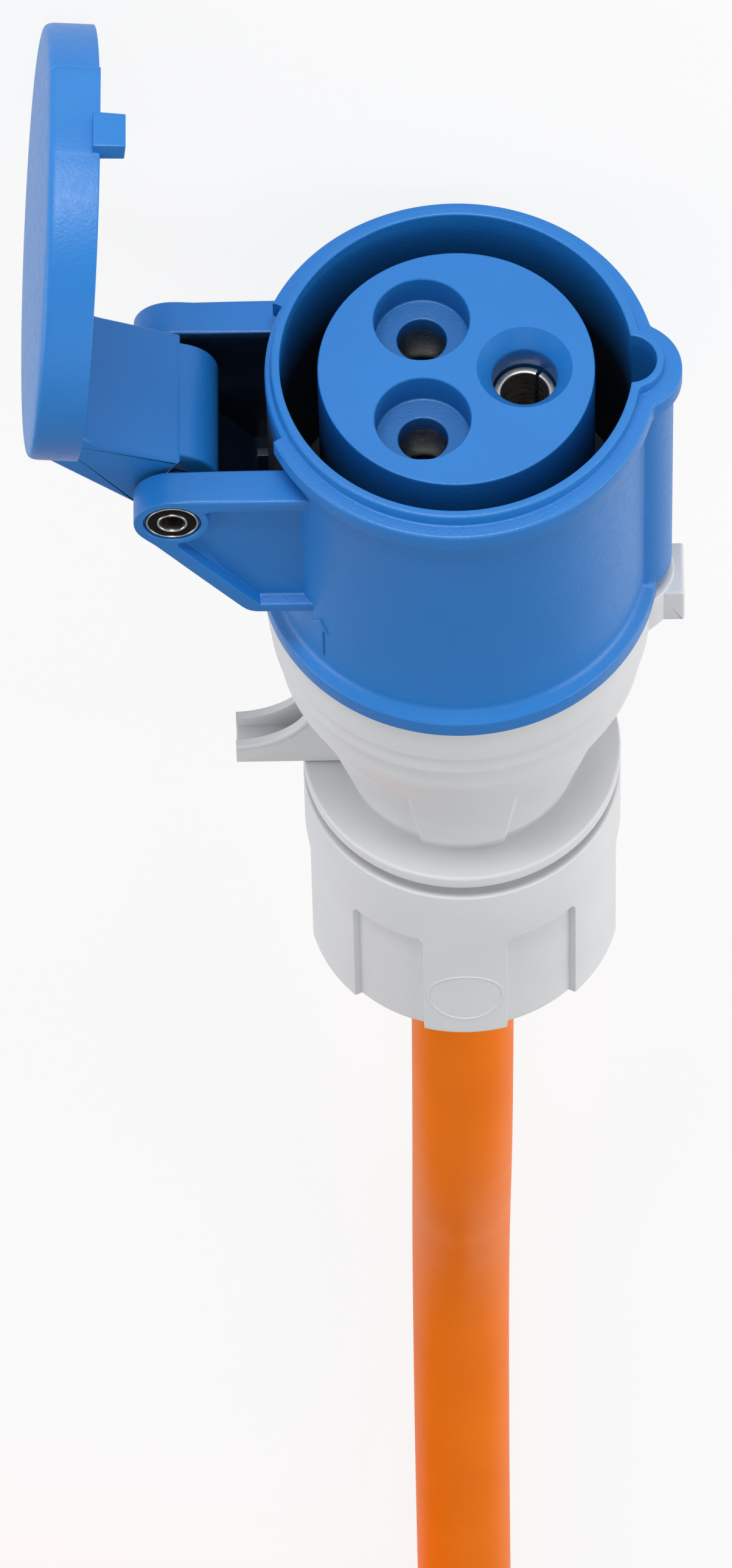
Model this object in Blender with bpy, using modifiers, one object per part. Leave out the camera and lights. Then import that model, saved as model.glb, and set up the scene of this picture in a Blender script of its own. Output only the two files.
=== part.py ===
"""A 16 A three-pin industrial extension lead: hinged-lid coupler, orange cable wound in a coil, and plug.

Each connector is drawn standing on its own bench axes: +Z out of its mouth, +X to its keyway, -Y to its
front, with z = 0 at the mouth's edge. An empty then lays the coupler on its back on the floor, mouth
towards -Y, and another lays the plug beside the coil. Lengths are in metres.
"""

import math

import bmesh
import bpy
from mathutils import Matrix, Vector

MM = 0.001

# Clearances
GAP = 0.3 * MM  # between pieces that touch
SEAM = 0.5 * MM  # the dark line between the two housings
SHY = 0.05 * MM  # keeps joined faces from lying in one plane

# Mouth of the coupler, a socket for a 16 A three-pin plug
BODY_R = 24.6 * MM
OPENING_R = BODY_R - 1.85 * MM
LIP_WALL = 1.15 * MM
LIP_H = 1.85 * MM
FLANGE_R = BODY_R + 1.3 * MM
FLANGE_T = 3.05 * MM
REAR_FLANGE_R = BODY_R + 1.6 * MM
REAR_FLANGE_T = 2.8 * MM
REAR_FILLET = 1.4 * MM
HOUSING_L = 49.4 * MM

# Keyway on the +X side
KEY_X = OPENING_R - 0.55 * MM
KEY_R = 3.6 * MM
KEY_DEPTH = HOUSING_L - 13.4 * MM
LIP_NOSE_R = 4.5 * MM
FLANGE_NOSE_R = 6.9 * MM
RIDGE_R = 5.8 * MM

# Contacts
CARRIER_R = OPENING_R - 4.85 * MM
CONTACT_PITCH_R = CARRIER_R - 9.1 * MM
CARRIER_RECESS = 1.6 * MM
CARRIER_BASE_T = 3.0 * MM
SHOULDER_R = OPENING_R - 2.25 * MM
SHOULDER_T = 2.0 * MM
SHOULDER_Z = -HOUSING_L + 9.4 * MM
COUNTERBORE_R = 6.2 * MM
COUNTERBORE_DEPTH = 4.85 * MM
THROAT_R = 3.2 * MM
EARTH_CONE_R = 4.15 * MM
EARTH_CONE_DEPTH = 2.35 * MM
EARTH_SLEEVE_DEPTH = 7.6 * MM
LINE_SLEEVE_DEPTH = 9.3 * MM
EARTH_PIN_R = 3.0 * MM
LINE_PIN_R = 2.5 * MM
PIN_PLAY = 0.05 * MM
SLEEVE_WALL = 1.0 * MM
SLIT_W = 0.5 * MM
SLIT_L = 16.0 * MM
SLEEVE_END_Z = -HOUSING_L + 2.9 * MM
TERMINAL_SCREW_R = 1.6 * MM
TERMINAL_SCREW_L = 3.2 * MM
RETAINER_T = 3.0 * MM
RETAINER_IN_R = OPENING_R - 5.25 * MM

# Hinge on the -X side
PIN_X = -BODY_R - 12.3 * MM
PIN_Z = -13.6 * MM
PIN_R = 2.3 * MM
PIN_BORE_R = 1.65 * MM
PIN_HEAD_R = 3.4 * MM
PIN_HEAD_T = 0.6 * MM
PIN_HEAD_SEAT = 0.9 * MM
BOSS_R = 5.0 * MM
ARM_IN_Y = 10.6 * MM
ARM_T = 5.0 * MM
ARM_FOOT_Z = -35.1 * MM
ARM_FOOT_X = -BODY_R - 2.7 * MM
ARM_RAIL = 2.2 * MM
ARM_POCKET = 1.7 * MM
ARM_WEB_T = 1.6 * MM
KNUCKLE_R = 6.0 * MM
KNUCKLE_Y = 8.7 * MM
BLOCK_Y = 10.0 * MM
SPRING_WIRE_R = 0.45 * MM
SPRING_COIL_R = 3.5 * MM
STOP_RIB_W = 1.4 * MM
STOP_RIB_REACH = BODY_R + 1.5 * MM

# Lid, drawn closed and then swung open about its pin
LID_OPEN = math.radians(84.3)
LID_R = 27.7 * MM
LID_X = 4.0 * MM
LID_RIM_Z = 0.4 * MM
LID_SKIRT_H = 6.7 * MM
LID_CROWN_H = 8.9 * MM
LID_WALL = 1.8 * MM
LID_SEAT_DEPTH = 2.2 * MM
LID_POCKET_R = LID_R - 7.7 * MM
LID_POCKET_DEPTH = 6.4 * MM
LID_TAB_W = 14.0 * MM
LID_TAB_EDGE = 2.9 * MM  # from the lug to the tab's end
LUG_W = 5.2 * MM
LUG_T = 3.0 * MM
LUG_H = 4.2 * MM
LUG_CLEAR = 0.8 * MM
GASKET_T = 1.6 * MM

# Rear housing, shared by coupler and plug
COLLAR_R = BODY_R + 0.9 * MM
COLLAR_END_Z = -HOUSING_L - 7.1 * MM
STEP = 0.35 * MM
STEP_2_Z = COLLAR_END_Z - 3.8 * MM
CONE_TOP_R = COLLAR_R - 1.2 * MM
CONE_TOP_Z = STEP_2_Z - 6.0 * MM
CONE_FOOT_R = 16.3 * MM
CONE_FOOT_Z = CONE_TOP_Z - 27.1 * MM
NUT_FLANGE_R = 21.4 * MM
NUT_FLANGE_T = 2.3 * MM
THREAD_R = 17.6 * MM
THREAD_END_Z = CONE_FOOT_Z - 21.6 * MM
REAR_WALL = 2.2 * MM
SEAL_W = 1.2 * MM
SEAL_T = 1.4 * MM
SEAL_PLAY = 0.1 * MM

# Finger hook and latch tab of the rear housing
HOOK_TIP_X = -COLLAR_R - 5.1 * MM
HOOK_TIP_Z = CONE_FOOT_Z + 5.6 * MM
HOOK_CURVE_R = 10.7 * MM
HOOK_W = 5.8 * MM
HOOK_WALL = 1.3 * MM
HOOK_WEB = 1.6 * MM
TAB_X = COLLAR_R + 3.2 * MM
TAB_T = 0.95 * MM
TAB_W = 8.0 * MM
TAB_TOP_Z = -HOUSING_L - 0.8 * MM
TAB_END_Z = TAB_TOP_Z - 6.6 * MM

# Cable gland
NUT_R = 21.4 * MM
NUT_TOP_Z = CONE_FOOT_Z - 5.1 * MM
NUT_END_Z = NUT_TOP_Z - 35.5 * MM
NUT_POCKET_DEPTH = 1.5 * MM
NUT_POCKET_TOP_Z = NUT_TOP_Z - 13.5 * MM
NUT_POCKETS = 6
GLAND_BORE_R = 13.6 * MM
GLAND_SHOULDER_Z = CONE_FOOT_Z - 10.3 * MM
GLAND_SEAL_L = 10.3 * MM
COLLET_L = 10.7 * MM
COLLET_FINGERS = 8
COLLET_TIP_R = 11.2 * MM
COLLET_SLOT_W = 1.2 * MM
THRUST_RING_T = 2.2 * MM

# Cable
CABLE_R = 7.1 * MM
CORE_R = 1.7 * MM
SHEATH_END_Z = CONE_FOOT_Z + 1.4 * MM

# Plug
PLUG_COLLAR_R = OPENING_R - 0.55 * MM
PLUG_COLLAR_IN_R = PLUG_COLLAR_R - 3.2 * MM
PLUG_COLLAR_L = HOUSING_L - 12.4 * MM
PLUG_KEY_W = 4.6 * MM
PLUG_KEY_REACH = PLUG_COLLAR_R + 2.8 * MM
PIN_TIP_Z = -7.0 * MM
PIN_FACE_Z = SHOULDER_Z + 7.0 * MM
PIN_SHANK_END_Z = SLEEVE_END_Z

# Lay-out on the floor
AXIS_HEIGHT = LID_R
TURN_GAP = 0.4 * MM  # between neighbouring turns
LAYER_GAP = 0.1 * MM
MIDDLE_TURN_R = 75.8 * MM  # three turns to a layer; this one sets the cable's length
COIL_Y = 470.0 * MM  # from the coupler's mouth to the middle of the coil
PLUG_BACK = 164.0 * MM  # from the coil's middle back to the plug's cable end
PLUG_ASIDE = 12.0 * MM  # from the cable's top turn in towards the coupler
TAIL_STRAIGHT = 68.0 * MM  # from the coil's middle to where the tail starts down
PLUG_STRAIGHT = 14.0 * MM  # straight before the plug, so its nut can slide back
TIE_W = 16.0 * MM
TIE_T = 1.2 * MM
TIE_ANGLES = (35, 145)

# Facets
ROUND = 40
ROUND_SMALL = 16
ROUND_PLUG = 32

BLUE = (0.035, 0.17, 0.50, 1.0)
GREY = (0.63, 0.64, 0.64, 1.0)
ORANGE = (0.74, 0.14, 0.008, 1.0)
RUBBER = (0.012, 0.012, 0.013, 1.0)
NICKEL = (0.62, 0.60, 0.56, 1.0)
BRASS = (0.72, 0.50, 0.20, 1.0)
STEEL = (0.55, 0.55, 0.56, 1.0)
BROWN = (0.10, 0.03, 0.012, 1.0)
LIGHT_BLUE = (0.03, 0.16, 0.55, 1.0)
GREEN = (0.02, 0.22, 0.05, 1.0)

for stray in list(bpy.data.objects):
    bpy.data.objects.remove(stray, do_unlink=True)

parts = bpy.data.collections.new("extension_lead")
cutters = bpy.data.collections.new("cutters")
cutters.hide_render = True
for group in (parts, cutters):
    bpy.context.scene.collection.children.link(group)

materials = {}


def material(name, colour, roughness, metallic=0.0):
    """A Principled material, made once for each name."""
    if name not in materials:
        made = bpy.data.materials.new(name)
        made.use_nodes = True
        shader = made.node_tree.nodes["Principled BSDF"]
        shader.inputs["Base Color"].default_value = colour
        shader.inputs["Roughness"].default_value = roughness
        shader.inputs["Metallic"].default_value = metallic
        made.diffuse_color = colour
        materials[name] = made
    return materials[name]


def blue():
    return material("blue polyamide", BLUE, 0.45)


def grey():
    return material("grey polyamide", GREY, 0.5)


def rubber():
    return material("black rubber", RUBBER, 0.7)


def nickel():
    return material("nickel-plated brass", NICKEL, 0.25, 1.0)


def steel():
    return material("zinc-plated steel", STEEL, 0.3, 1.0)


def add(name, mesh, parent, look=None):
    """A piece in the model's collection, or a cutter where it has no material."""
    made = bpy.data.objects.new(name, mesh)
    if look:
        parts.objects.link(made)
        mesh.materials.clear()
        mesh.materials.append(look)
    else:
        cutters.objects.link(made)
        made.hide_render = True
        made.display_type = "WIRE"
    made.parent = parent
    return made


def turned(name, profile, parent, look=None, steps=ROUND, ring=True):
    """A profile of (radius, z) points turned about Z: a closed loop, or a line from the axis to the axis."""
    mesh = bpy.data.meshes.new(name)
    edges = [(i, i + 1) for i in range(len(profile) - 1)]
    if ring:
        edges.append((len(profile) - 1, 0))
    mesh.from_pydata([(r, 0, z) for r, z in profile], edges, [])
    made = add(name, mesh, parent, look)
    screw = made.modifiers.new("turn", "SCREW")
    screw.axis = "Z"
    screw.angle = math.tau
    screw.steps = screw.render_steps = steps
    screw.use_merge_vertices = True
    screw.merge_threshold = 0.00001
    screw.use_smooth_shade = True
    return made


def rod(name, radius, z_top, z_end, parent, look=None, at=(0, 0), steps=ROUND_SMALL):
    """A plain cylinder along Z."""
    shape = bmesh.new()
    middle = Matrix.Translation((at[0], at[1], (z_top + z_end) / 2))
    bmesh.ops.create_cone(
        shape, cap_ends=True, segments=steps, radius1=radius, radius2=radius, depth=z_top - z_end, matrix=middle
    )
    mesh = bpy.data.meshes.new(name)
    shape.to_mesh(mesh)
    shape.free()
    return add(name, mesh, parent, look)


def tube(name, outer, inner, z_top, z_end, parent, look, steps=ROUND_SMALL):
    """A plain round tube along Z."""
    return turned(name, [(outer, z_top), (outer, z_end), (inner, z_end), (inner, z_top)], parent, look, steps)


def block(name, low, high, parent, look=None):
    """A box between two corners."""
    shape = bmesh.new()
    size = [high[i] - low[i] for i in range(3)]
    middle = [(high[i] + low[i]) / 2 for i in range(3)]
    bmesh.ops.create_cube(shape, size=1, matrix=Matrix.Translation(middle) @ Matrix.Diagonal((*size, 1)))
    mesh = bpy.data.meshes.new(name)
    shape.to_mesh(mesh)
    shape.free()
    return add(name, mesh, parent, look)


def mesh_of(curve_object, parent, look):
    """The mesh object that a curve becomes, with its caps welded on."""
    bpy.context.view_layer.update()
    seen = curve_object.evaluated_get(bpy.context.evaluated_depsgraph_get())
    mesh = bpy.data.meshes.new_from_object(seen)
    shape = bmesh.new()
    shape.from_mesh(mesh)
    bmesh.ops.remove_doubles(shape, verts=shape.verts, dist=0.000001)
    bmesh.ops.recalc_face_normals(shape, faces=shape.faces)
    shape.to_mesh(mesh)
    shape.free()
    name = curve_object.name
    bpy.data.objects.remove(curve_object, do_unlink=True)
    made = add(name, mesh, parent, look)
    made.name = name
    return made


def plate(name, outline, thickness, parent, look=None, upright=True):
    """A flat outline with a thickness: in the XZ plane about y = 0 if upright, else in the XY plane about z = 0."""
    curve = bpy.data.curves.new(name, "CURVE")
    curve.dimensions = "2D"
    curve.fill_mode = "BOTH"
    curve.extrude = thickness / 2
    spline = curve.splines.new("POLY")
    spline.points.add(len(outline) - 1)
    for point, (x, y) in zip(spline.points, outline):
        point.co = (x, y, 0, 1)
    spline.use_cyclic_u = True
    holder = bpy.data.objects.new(name, curve)
    cutters.objects.link(holder)
    made = mesh_of(holder, parent, look)
    if upright:
        made.data.transform(Matrix.Rotation(math.pi / 2, 4, "X"))
    return made


def moved(made, x=0.0, y=0.0, z=0.0):
    """The same object, shifted in its parent's axes."""
    made.location = Vector(made.location) + Vector((x, y, z))
    return made


def swung(made, angle):
    """The same object, turned about its parent's Z axis."""
    made.rotation_euler = (0, 0, angle)
    return made


def combine(made, operation, others):
    """Boolean of one object with others, in order."""
    for other in others:
        step = made.modifiers.new(operation.lower() + " " + other.name, "BOOLEAN")
        step.operation = operation
        step.object = other
        step.solver = "EXACT"
    return made


def cut(made, *others):
    return combine(made, "DIFFERENCE", others)


def join(made, *others):
    return combine(made, "UNION", others)


def arc(centre, radius, start, end, count):
    """Points on an arc, angles in degrees, both ends included."""
    angles = [math.radians(start + (end - start) * i / count) for i in range(count + 1)]
    return [(centre[0] + radius * math.cos(a), centre[1] + radius * math.sin(a)) for a in angles]


def shrunk(point, middle):
    """A point drawn very slightly towards a middle one."""
    return tuple(Vector(point).lerp(Vector(middle), 0.008))


def tangent(point, centre, radius, side):
    """Where the line from a point touches a circle: side +1 or -1 picks which of the two."""
    away = Vector(point) - Vector(centre)
    lean = math.acos(radius / away.length)
    angle = math.atan2(away.y, away.x) + side * lean
    return (centre[0] + radius * math.cos(angle), centre[1] + radius * math.sin(angle)), math.degrees(angle)


def wire(name, points, radius, parent, look, sides=2):
    """A round wire or cord through the given points, with closed ends."""
    curve = bpy.data.curves.new(name, "CURVE")
    curve.dimensions = "3D"
    curve.bevel_depth = radius
    curve.bevel_resolution = sides
    curve.use_fill_caps = True
    spline = curve.splines.new("POLY")
    spline.points.add(len(points) - 1)
    for point, place in zip(spline.points, points):
        point.co = (*place, 1)
    holder = bpy.data.objects.new(name, curve)
    cutters.objects.link(holder)
    return mesh_of(holder, parent, look)


def smooth_path(points, spacing):
    """Points evenly along a Catmull-Rom curve through the given ones."""
    ends = [2 * points[0] - points[1], *points, 2 * points[-1] - points[-2]]
    fine = []
    for a, b, c, d in zip(ends, ends[1:], ends[2:], ends[3:]):
        for i in range(24):
            t = i / 24
            square = (2 * a - 5 * b + 4 * c - d) * t**2
            cube = (3 * b - a - 3 * c + d) * t**3
            fine.append(0.5 * (2 * b + (c - a) * t + square + cube))
    fine.append(points[-1])
    lengths = [0.0]
    for a, b in zip(fine, fine[1:]):
        lengths.append(lengths[-1] + (b - a).length)
    count = max(2, round(lengths[-1] / spacing))
    out = []
    at = 0
    for k in range(count + 1):
        want = lengths[-1] * k / count
        while at < len(fine) - 2 and lengths[at + 1] < want:
            at += 1
        share = (want - lengths[at]) / max(lengths[at + 1] - lengths[at], 1e-9)
        out.append(fine[at].lerp(fine[at + 1], min(max(share, 0), 1)))
    return out


def contact_places():
    """The three contacts about the axis: earth at the keyway, then line and neutral 120 degrees either way."""
    names = ("earth", "line", "neutral")
    turns = (0, math.tau / 3, -math.tau / 3)
    return {n: (CONTACT_PITCH_R * math.cos(a), CONTACT_PITCH_R * math.sin(a)) for n, a in zip(names, turns)}


CONTACTS = contact_places()


def lead_end(name):
    """An empty that carries one connector."""
    made = bpy.data.objects.new(name, None)
    parts.objects.link(made)
    return made


# Front housing of the coupler

coupler = lead_end("coupler_axis")
LIP_R = OPENING_R + LIP_WALL
FLANGE_END_Z = -LIP_H - FLANGE_T
REAR_TOP_Z = -HOUSING_L + REAR_FLANGE_T
ARM_Y = ARM_IN_Y + ARM_T / 2
ARM_OUT_Y = ARM_IN_Y + ARM_T
BORE_OVER = 1 * MM


def arm_outline():
    """Side view of a hinge arm: a boss round the pin, a level top, and a slanted lower edge."""
    pin = (PIN_X, PIN_Z)
    inside = -OPENING_R * 0.75
    corner = (ARM_FOOT_X, ARM_FOOT_Z)
    touch, angle = tangent(corner, pin, BOSS_R, -1)
    boss = arc(pin, BOSS_R, 90, angle + 360 if angle < 90 else angle, 14)
    foot = Vector(touch).lerp(Vector(corner), 0.92)
    soft = (ARM_FOOT_X + 0.7 * MM, ARM_FOOT_Z + 0.25 * MM)
    level = (ARM_FOOT_X + 2 * MM, ARM_FOOT_Z)
    return [(inside, PIN_Z + BOSS_R), *boss, tuple(foot), soft, level, (inside, ARM_FOOT_Z)]


def arm_pocket_outline():
    """The recess in an arm's outer face, inside its top, slanted and bottom rails."""
    pin = (PIN_X, PIN_Z)
    corner = (ARM_FOOT_X, ARM_FOOT_Z)
    touch, _ = tangent(corner, pin, BOSS_R, -1)
    along = (Vector(corner) - Vector(touch)).normalized()
    inward = Vector((-along.y, along.x)) * ARM_RAIL
    start = Vector(touch) + inward
    low = ARM_FOOT_Z + ARM_RAIL * 0.85
    end = start + along * ((low - start.y) / along.y)
    top = PIN_Z + BOSS_R - ARM_RAIL
    inside = -BODY_R * 0.84
    return [(inside, top), (PIN_X, top), tuple(start), tuple(end), (inside, low)]


def arm_web_outline():
    """The thin wall that joins the two arms along the lower part of their slanted edges and their foot."""
    corner = (ARM_FOOT_X, ARM_FOOT_Z)
    touch, _ = tangent(corner, (PIN_X, PIN_Z), BOSS_R, -1)
    along = (Vector(corner) - Vector(touch)).normalized()
    inward = Vector((-along.y, along.x))
    out_top = Vector(touch).lerp(Vector(corner), 0.35) + inward * SHY
    in_top = out_top + inward * ARM_WEB_T
    foot_z = ARM_FOOT_Z + SHY
    out_foot = Vector(touch).lerp(Vector(corner), 0.9) + inward * SHY
    out_low = (ARM_FOOT_X + 1 * MM, foot_z)
    in_low = in_top + along * ((foot_z + ARM_WEB_T - in_top.y) / along.y)
    inside = -OPENING_R * 0.76
    return [
        tuple(out_top),
        tuple(out_foot),
        out_low,
        (inside, foot_z),
        (inside, foot_z + ARM_WEB_T),
        tuple(in_low),
        tuple(in_top),
    ]


def front_housing():
    profile = [
        (0, 0),
        (LIP_R, 0),
        (LIP_R, -LIP_H),
        (FLANGE_R - GAP, -LIP_H),
        (FLANGE_R, -LIP_H - GAP),
        (FLANGE_R, FLANGE_END_Z),
        (BODY_R, FLANGE_END_Z),
        (BODY_R, REAR_TOP_Z + REAR_FILLET),
        (BODY_R + REAR_FILLET * 0.3, REAR_TOP_Z + REAR_FILLET * 0.3),
        (REAR_FLANGE_R, REAR_TOP_Z),
        (REAR_FLANGE_R, -HOUSING_L),
        (0, -HOUSING_L),
    ]
    body = turned("front_housing", profile, coupler, blue(), ring=False)
    key = (KEY_X, 0)
    lip_nose = rod("lip_nose", LIP_NOSE_R, -SHY, -LIP_H - GAP, coupler, at=key, steps=24)
    flange_nose = rod("flange_nose", FLANGE_NOSE_R, -LIP_H - SHY, FLANGE_END_Z + SHY, coupler, at=key, steps=26)
    ridge = rod("ridge", RIDGE_R, FLANGE_END_Z + GAP, REAR_TOP_Z - GAP, coupler, at=key, steps=22)
    rib_low = (-STOP_RIB_REACH, -STOP_RIB_W / 2, ARM_FOOT_Z + ARM_WEB_T / 2)
    rib_high = (-OPENING_R - GAP, STOP_RIB_W / 2, PIN_Z - KNUCKLE_R - 1 * MM)
    stop_rib = block("stop_rib", rib_low, rib_high, coupler)
    arms = []
    for side, y in (("near", -ARM_Y), ("far", ARM_Y)):
        arms.append(moved(plate("arm_" + side, arm_outline(), ARM_T, coupler), y=y))
    web = plate("arm_web", arm_web_outline(), 2 * ARM_IN_Y + 2 * MM, coupler)
    join(body, lip_nose, flange_nose, ridge, stop_rib, *arms, web)

    between = block("between_arms", (-FLANGE_R - 5 * MM, -ARM_IN_Y, -1), (0, ARM_IN_Y, 1), coupler)
    missing_rim = turned(
        "missing_rim",
        [
            (FLANGE_R + 3 * MM, -LIP_H + GAP),
            (FLANGE_R + 3 * MM, FLANGE_END_Z - GAP / 3),
            (BODY_R + GAP / 3, FLANGE_END_Z - GAP / 3),
            (BODY_R + GAP / 3, -LIP_H + GAP),
        ],
        coupler,
    )
    combine(missing_rim, "INTERSECT", [between])
    bore = turned(
        "bore",
        [
            (0, BORE_OVER),
            (OPENING_R, BORE_OVER),
            (OPENING_R, SHOULDER_Z + SHOULDER_T),
            (SHOULDER_R, SHOULDER_Z + SHOULDER_T),
            (SHOULDER_R, SHOULDER_Z),
            (OPENING_R, SHOULDER_Z),
            (OPENING_R, -HOUSING_L - BORE_OVER),
            (0, -HOUSING_L - BORE_OVER),
        ],
        coupler,
        ring=False,
    )
    swung(bore, math.pi / ROUND)
    keyway = rod("keyway", KEY_R, BORE_OVER, -KEY_DEPTH, coupler, at=key, steps=20)
    cuts = [missing_rim, bore, keyway]
    for side, sign in (("near", -1), ("far", 1)):
        pocket = plate("pocket_" + side, arm_pocket_outline(), 2 * ARM_POCKET, coupler)
        moved(pocket, y=sign * ARM_OUT_Y)
        boss = pin_wise("boss_" + side, BOSS_R, ARM_OUT_Y + 5 * MM, steps=28)
        cut(pocket, boss)
        seat_depth = ARM_OUT_Y - PIN_HEAD_SEAT
        seat = pin_wise("head_seat_" + side, PIN_HEAD_R + GAP, 3 * MM, steps=20)
        moved(seat, y=sign * (seat_depth + 1.5 * MM))
        cuts += [pocket, seat]
    cuts.append(pin_wise("pin_hole", PIN_R + GAP, 2 * ARM_OUT_Y + 2 * MM, steps=20))
    return cut(body, *cuts)


def pin_wise(name, radius, length, look=None, steps=20, parent=None):
    """A cylinder along the hinge pin's axis."""
    shape = bmesh.new()
    along = Matrix.Translation((PIN_X, 0, PIN_Z)) @ Matrix.Rotation(math.pi / 2, 4, "X")
    if parent:
        along = Matrix.Rotation(math.pi / 2, 4, "X")
    bmesh.ops.create_cone(
        shape, cap_ends=True, segments=steps, radius1=radius, radius2=radius, depth=length, matrix=along
    )
    mesh = bpy.data.meshes.new(name)
    shape.to_mesh(mesh)
    shape.free()
    return add(name, mesh, parent or coupler, look)


front_housing()


# Contact insert with its sleeves and screws

CARRIER_BACK_Z = SHOULDER_Z - GAP - CARRIER_BASE_T
RETAINER_Z = CARRIER_BACK_Z - GAP
INSERT_R = OPENING_R - GAP


def contact_carrier():
    body = turned(
        "contact_carrier",
        [
            (0, -CARRIER_RECESS),
            (CARRIER_R - GAP, -CARRIER_RECESS),
            (CARRIER_R, -CARRIER_RECESS - GAP),
            (CARRIER_R, SHOULDER_Z - GAP),
            (INSERT_R, SHOULDER_Z - GAP),
            (INSERT_R, CARRIER_BACK_Z),
            (0, CARRIER_BACK_Z),
        ],
        coupler,
        blue(),
        ring=False,
    )
    cuts = []
    for name, at in CONTACTS.items():
        earth = name == "earth"
        pin = EARTH_PIN_R if earth else LINE_PIN_R
        mouth_z = -CARRIER_RECESS + GAP
        if earth:
            shape = [
                (0, mouth_z),
                (COUNTERBORE_R, mouth_z),
                (COUNTERBORE_R, -CARRIER_RECESS),
                (EARTH_CONE_R, -CARRIER_RECESS - EARTH_CONE_DEPTH),
            ]
        else:
            floor_z = -CARRIER_RECESS - COUNTERBORE_DEPTH
            shape = [
                (0, mouth_z),
                (COUNTERBORE_R, mouth_z),
                (COUNTERBORE_R, floor_z),
                (THROAT_R, floor_z),
                (THROAT_R, -LINE_SLEEVE_DEPTH),
            ]
        bore_r = pin + PIN_PLAY + SLEEVE_WALL + GAP
        if earth:
            shape += [(bore_r, -CARRIER_RECESS - EARTH_CONE_DEPTH)]
        else:
            shape += [(bore_r, -LINE_SLEEVE_DEPTH)]
        shape += [(bore_r, CARRIER_BACK_Z - GAP), (0, CARRIER_BACK_Z - GAP)]
        well = turned("well_" + name, shape, coupler, steps=24, ring=False)
        cuts.append(moved(well, x=at[0], y=at[1]))
    return cut(body, *cuts)


def contact_sleeves():
    """A slit tube for each pin of the plug, with a screw terminal behind the insert."""
    for name, (x, y) in CONTACTS.items():
        pin = EARTH_PIN_R if name == "earth" else LINE_PIN_R
        inner = pin + PIN_PLAY
        outer = inner + SLEEVE_WALL
        top = -EARTH_SLEEVE_DEPTH if name == "earth" else -LINE_SLEEVE_DEPTH - GAP
        floor_z = CARRIER_BACK_Z - GAP
        sleeve = turned(
            name + "_sleeve",
            [
                (outer, top),
                (outer, SLEEVE_END_Z - 4 * MM),
                (0, SLEEVE_END_Z - 4 * MM),
                (0, floor_z),
                (inner, floor_z),
                (inner, top),
            ],
            coupler,
            nickel(),
            steps=ROUND_SMALL,
            ring=False,
        )
        # The loop closes at the sleeve's mouth, so its last edge is added here.
        sleeve.data.edges.add(1)
        sleeve.data.edges[-1].vertices = (5, 0)
        moved(sleeve, x=x, y=y)
        away = Vector((x, y)).normalized()
        slit = block(
            "slit_" + name,
            (-SLIT_W / 2, -outer - GAP, top - SLIT_L),
            (SLIT_W / 2, outer + GAP, top + GAP),
            coupler,
        )
        moved(slit, x=x, y=y)
        swung(slit, -0.55)
        screw_z = SLEEVE_END_Z - 1 * MM
        hole = cross_rod("screw_hole_" + name, TERMINAL_SCREW_R + GAP, outer + 1 * MM, coupler)
        face = math.atan2(away.y, away.x)
        for piece, out in ((hole, 0.8 * MM),):
            moved(piece, x=x + away.x * out, y=y + away.y * out, z=screw_z)
            swung(piece, face)
        cut(sleeve, slit, hole)
        screw = cross_rod(name + "_screw", TERMINAL_SCREW_R, TERMINAL_SCREW_L, coupler, steel())
        moved(screw, x=x + away.x * (0.8 * MM + GAP), y=y + away.y * (0.8 * MM + GAP), z=screw_z)
        swung(screw, face)


def cross_rod(name, radius, length, parent, look=None, steps=12):
    """A cylinder that starts at its origin and runs along +X."""
    shape = bmesh.new()
    along = Matrix.Translation((length / 2, 0, 0)) @ Matrix.Rotation(math.pi / 2, 4, "Y")
    bmesh.ops.create_cone(
        shape, cap_ends=True, segments=steps, radius1=radius, radius2=radius, depth=length, matrix=along
    )
    mesh = bpy.data.meshes.new(name)
    shape.to_mesh(mesh)
    shape.free()
    return add(name, mesh, parent, look)


contact_carrier()
contact_sleeves()
tube("carrier_retainer", INSERT_R, RETAINER_IN_R, RETAINER_Z, RETAINER_Z - RETAINER_T, coupler, grey(), 32)


# Lid, drawn in its closed place about the pin

hinge = bpy.data.objects.new("lid_hinge", None)
parts.objects.link(hinge)
hinge.parent = coupler
hinge.location = (PIN_X, 0, PIN_Z)
hinge.rotation_euler = (0, -LID_OPEN, 0)
LID_CX = LID_X - PIN_X  # lid centre and rim, from the pin
LID_CZ = LID_RIM_Z - PIN_Z
SEAL_X = -PIN_X  # the mouth's own centre, from the pin


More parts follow.
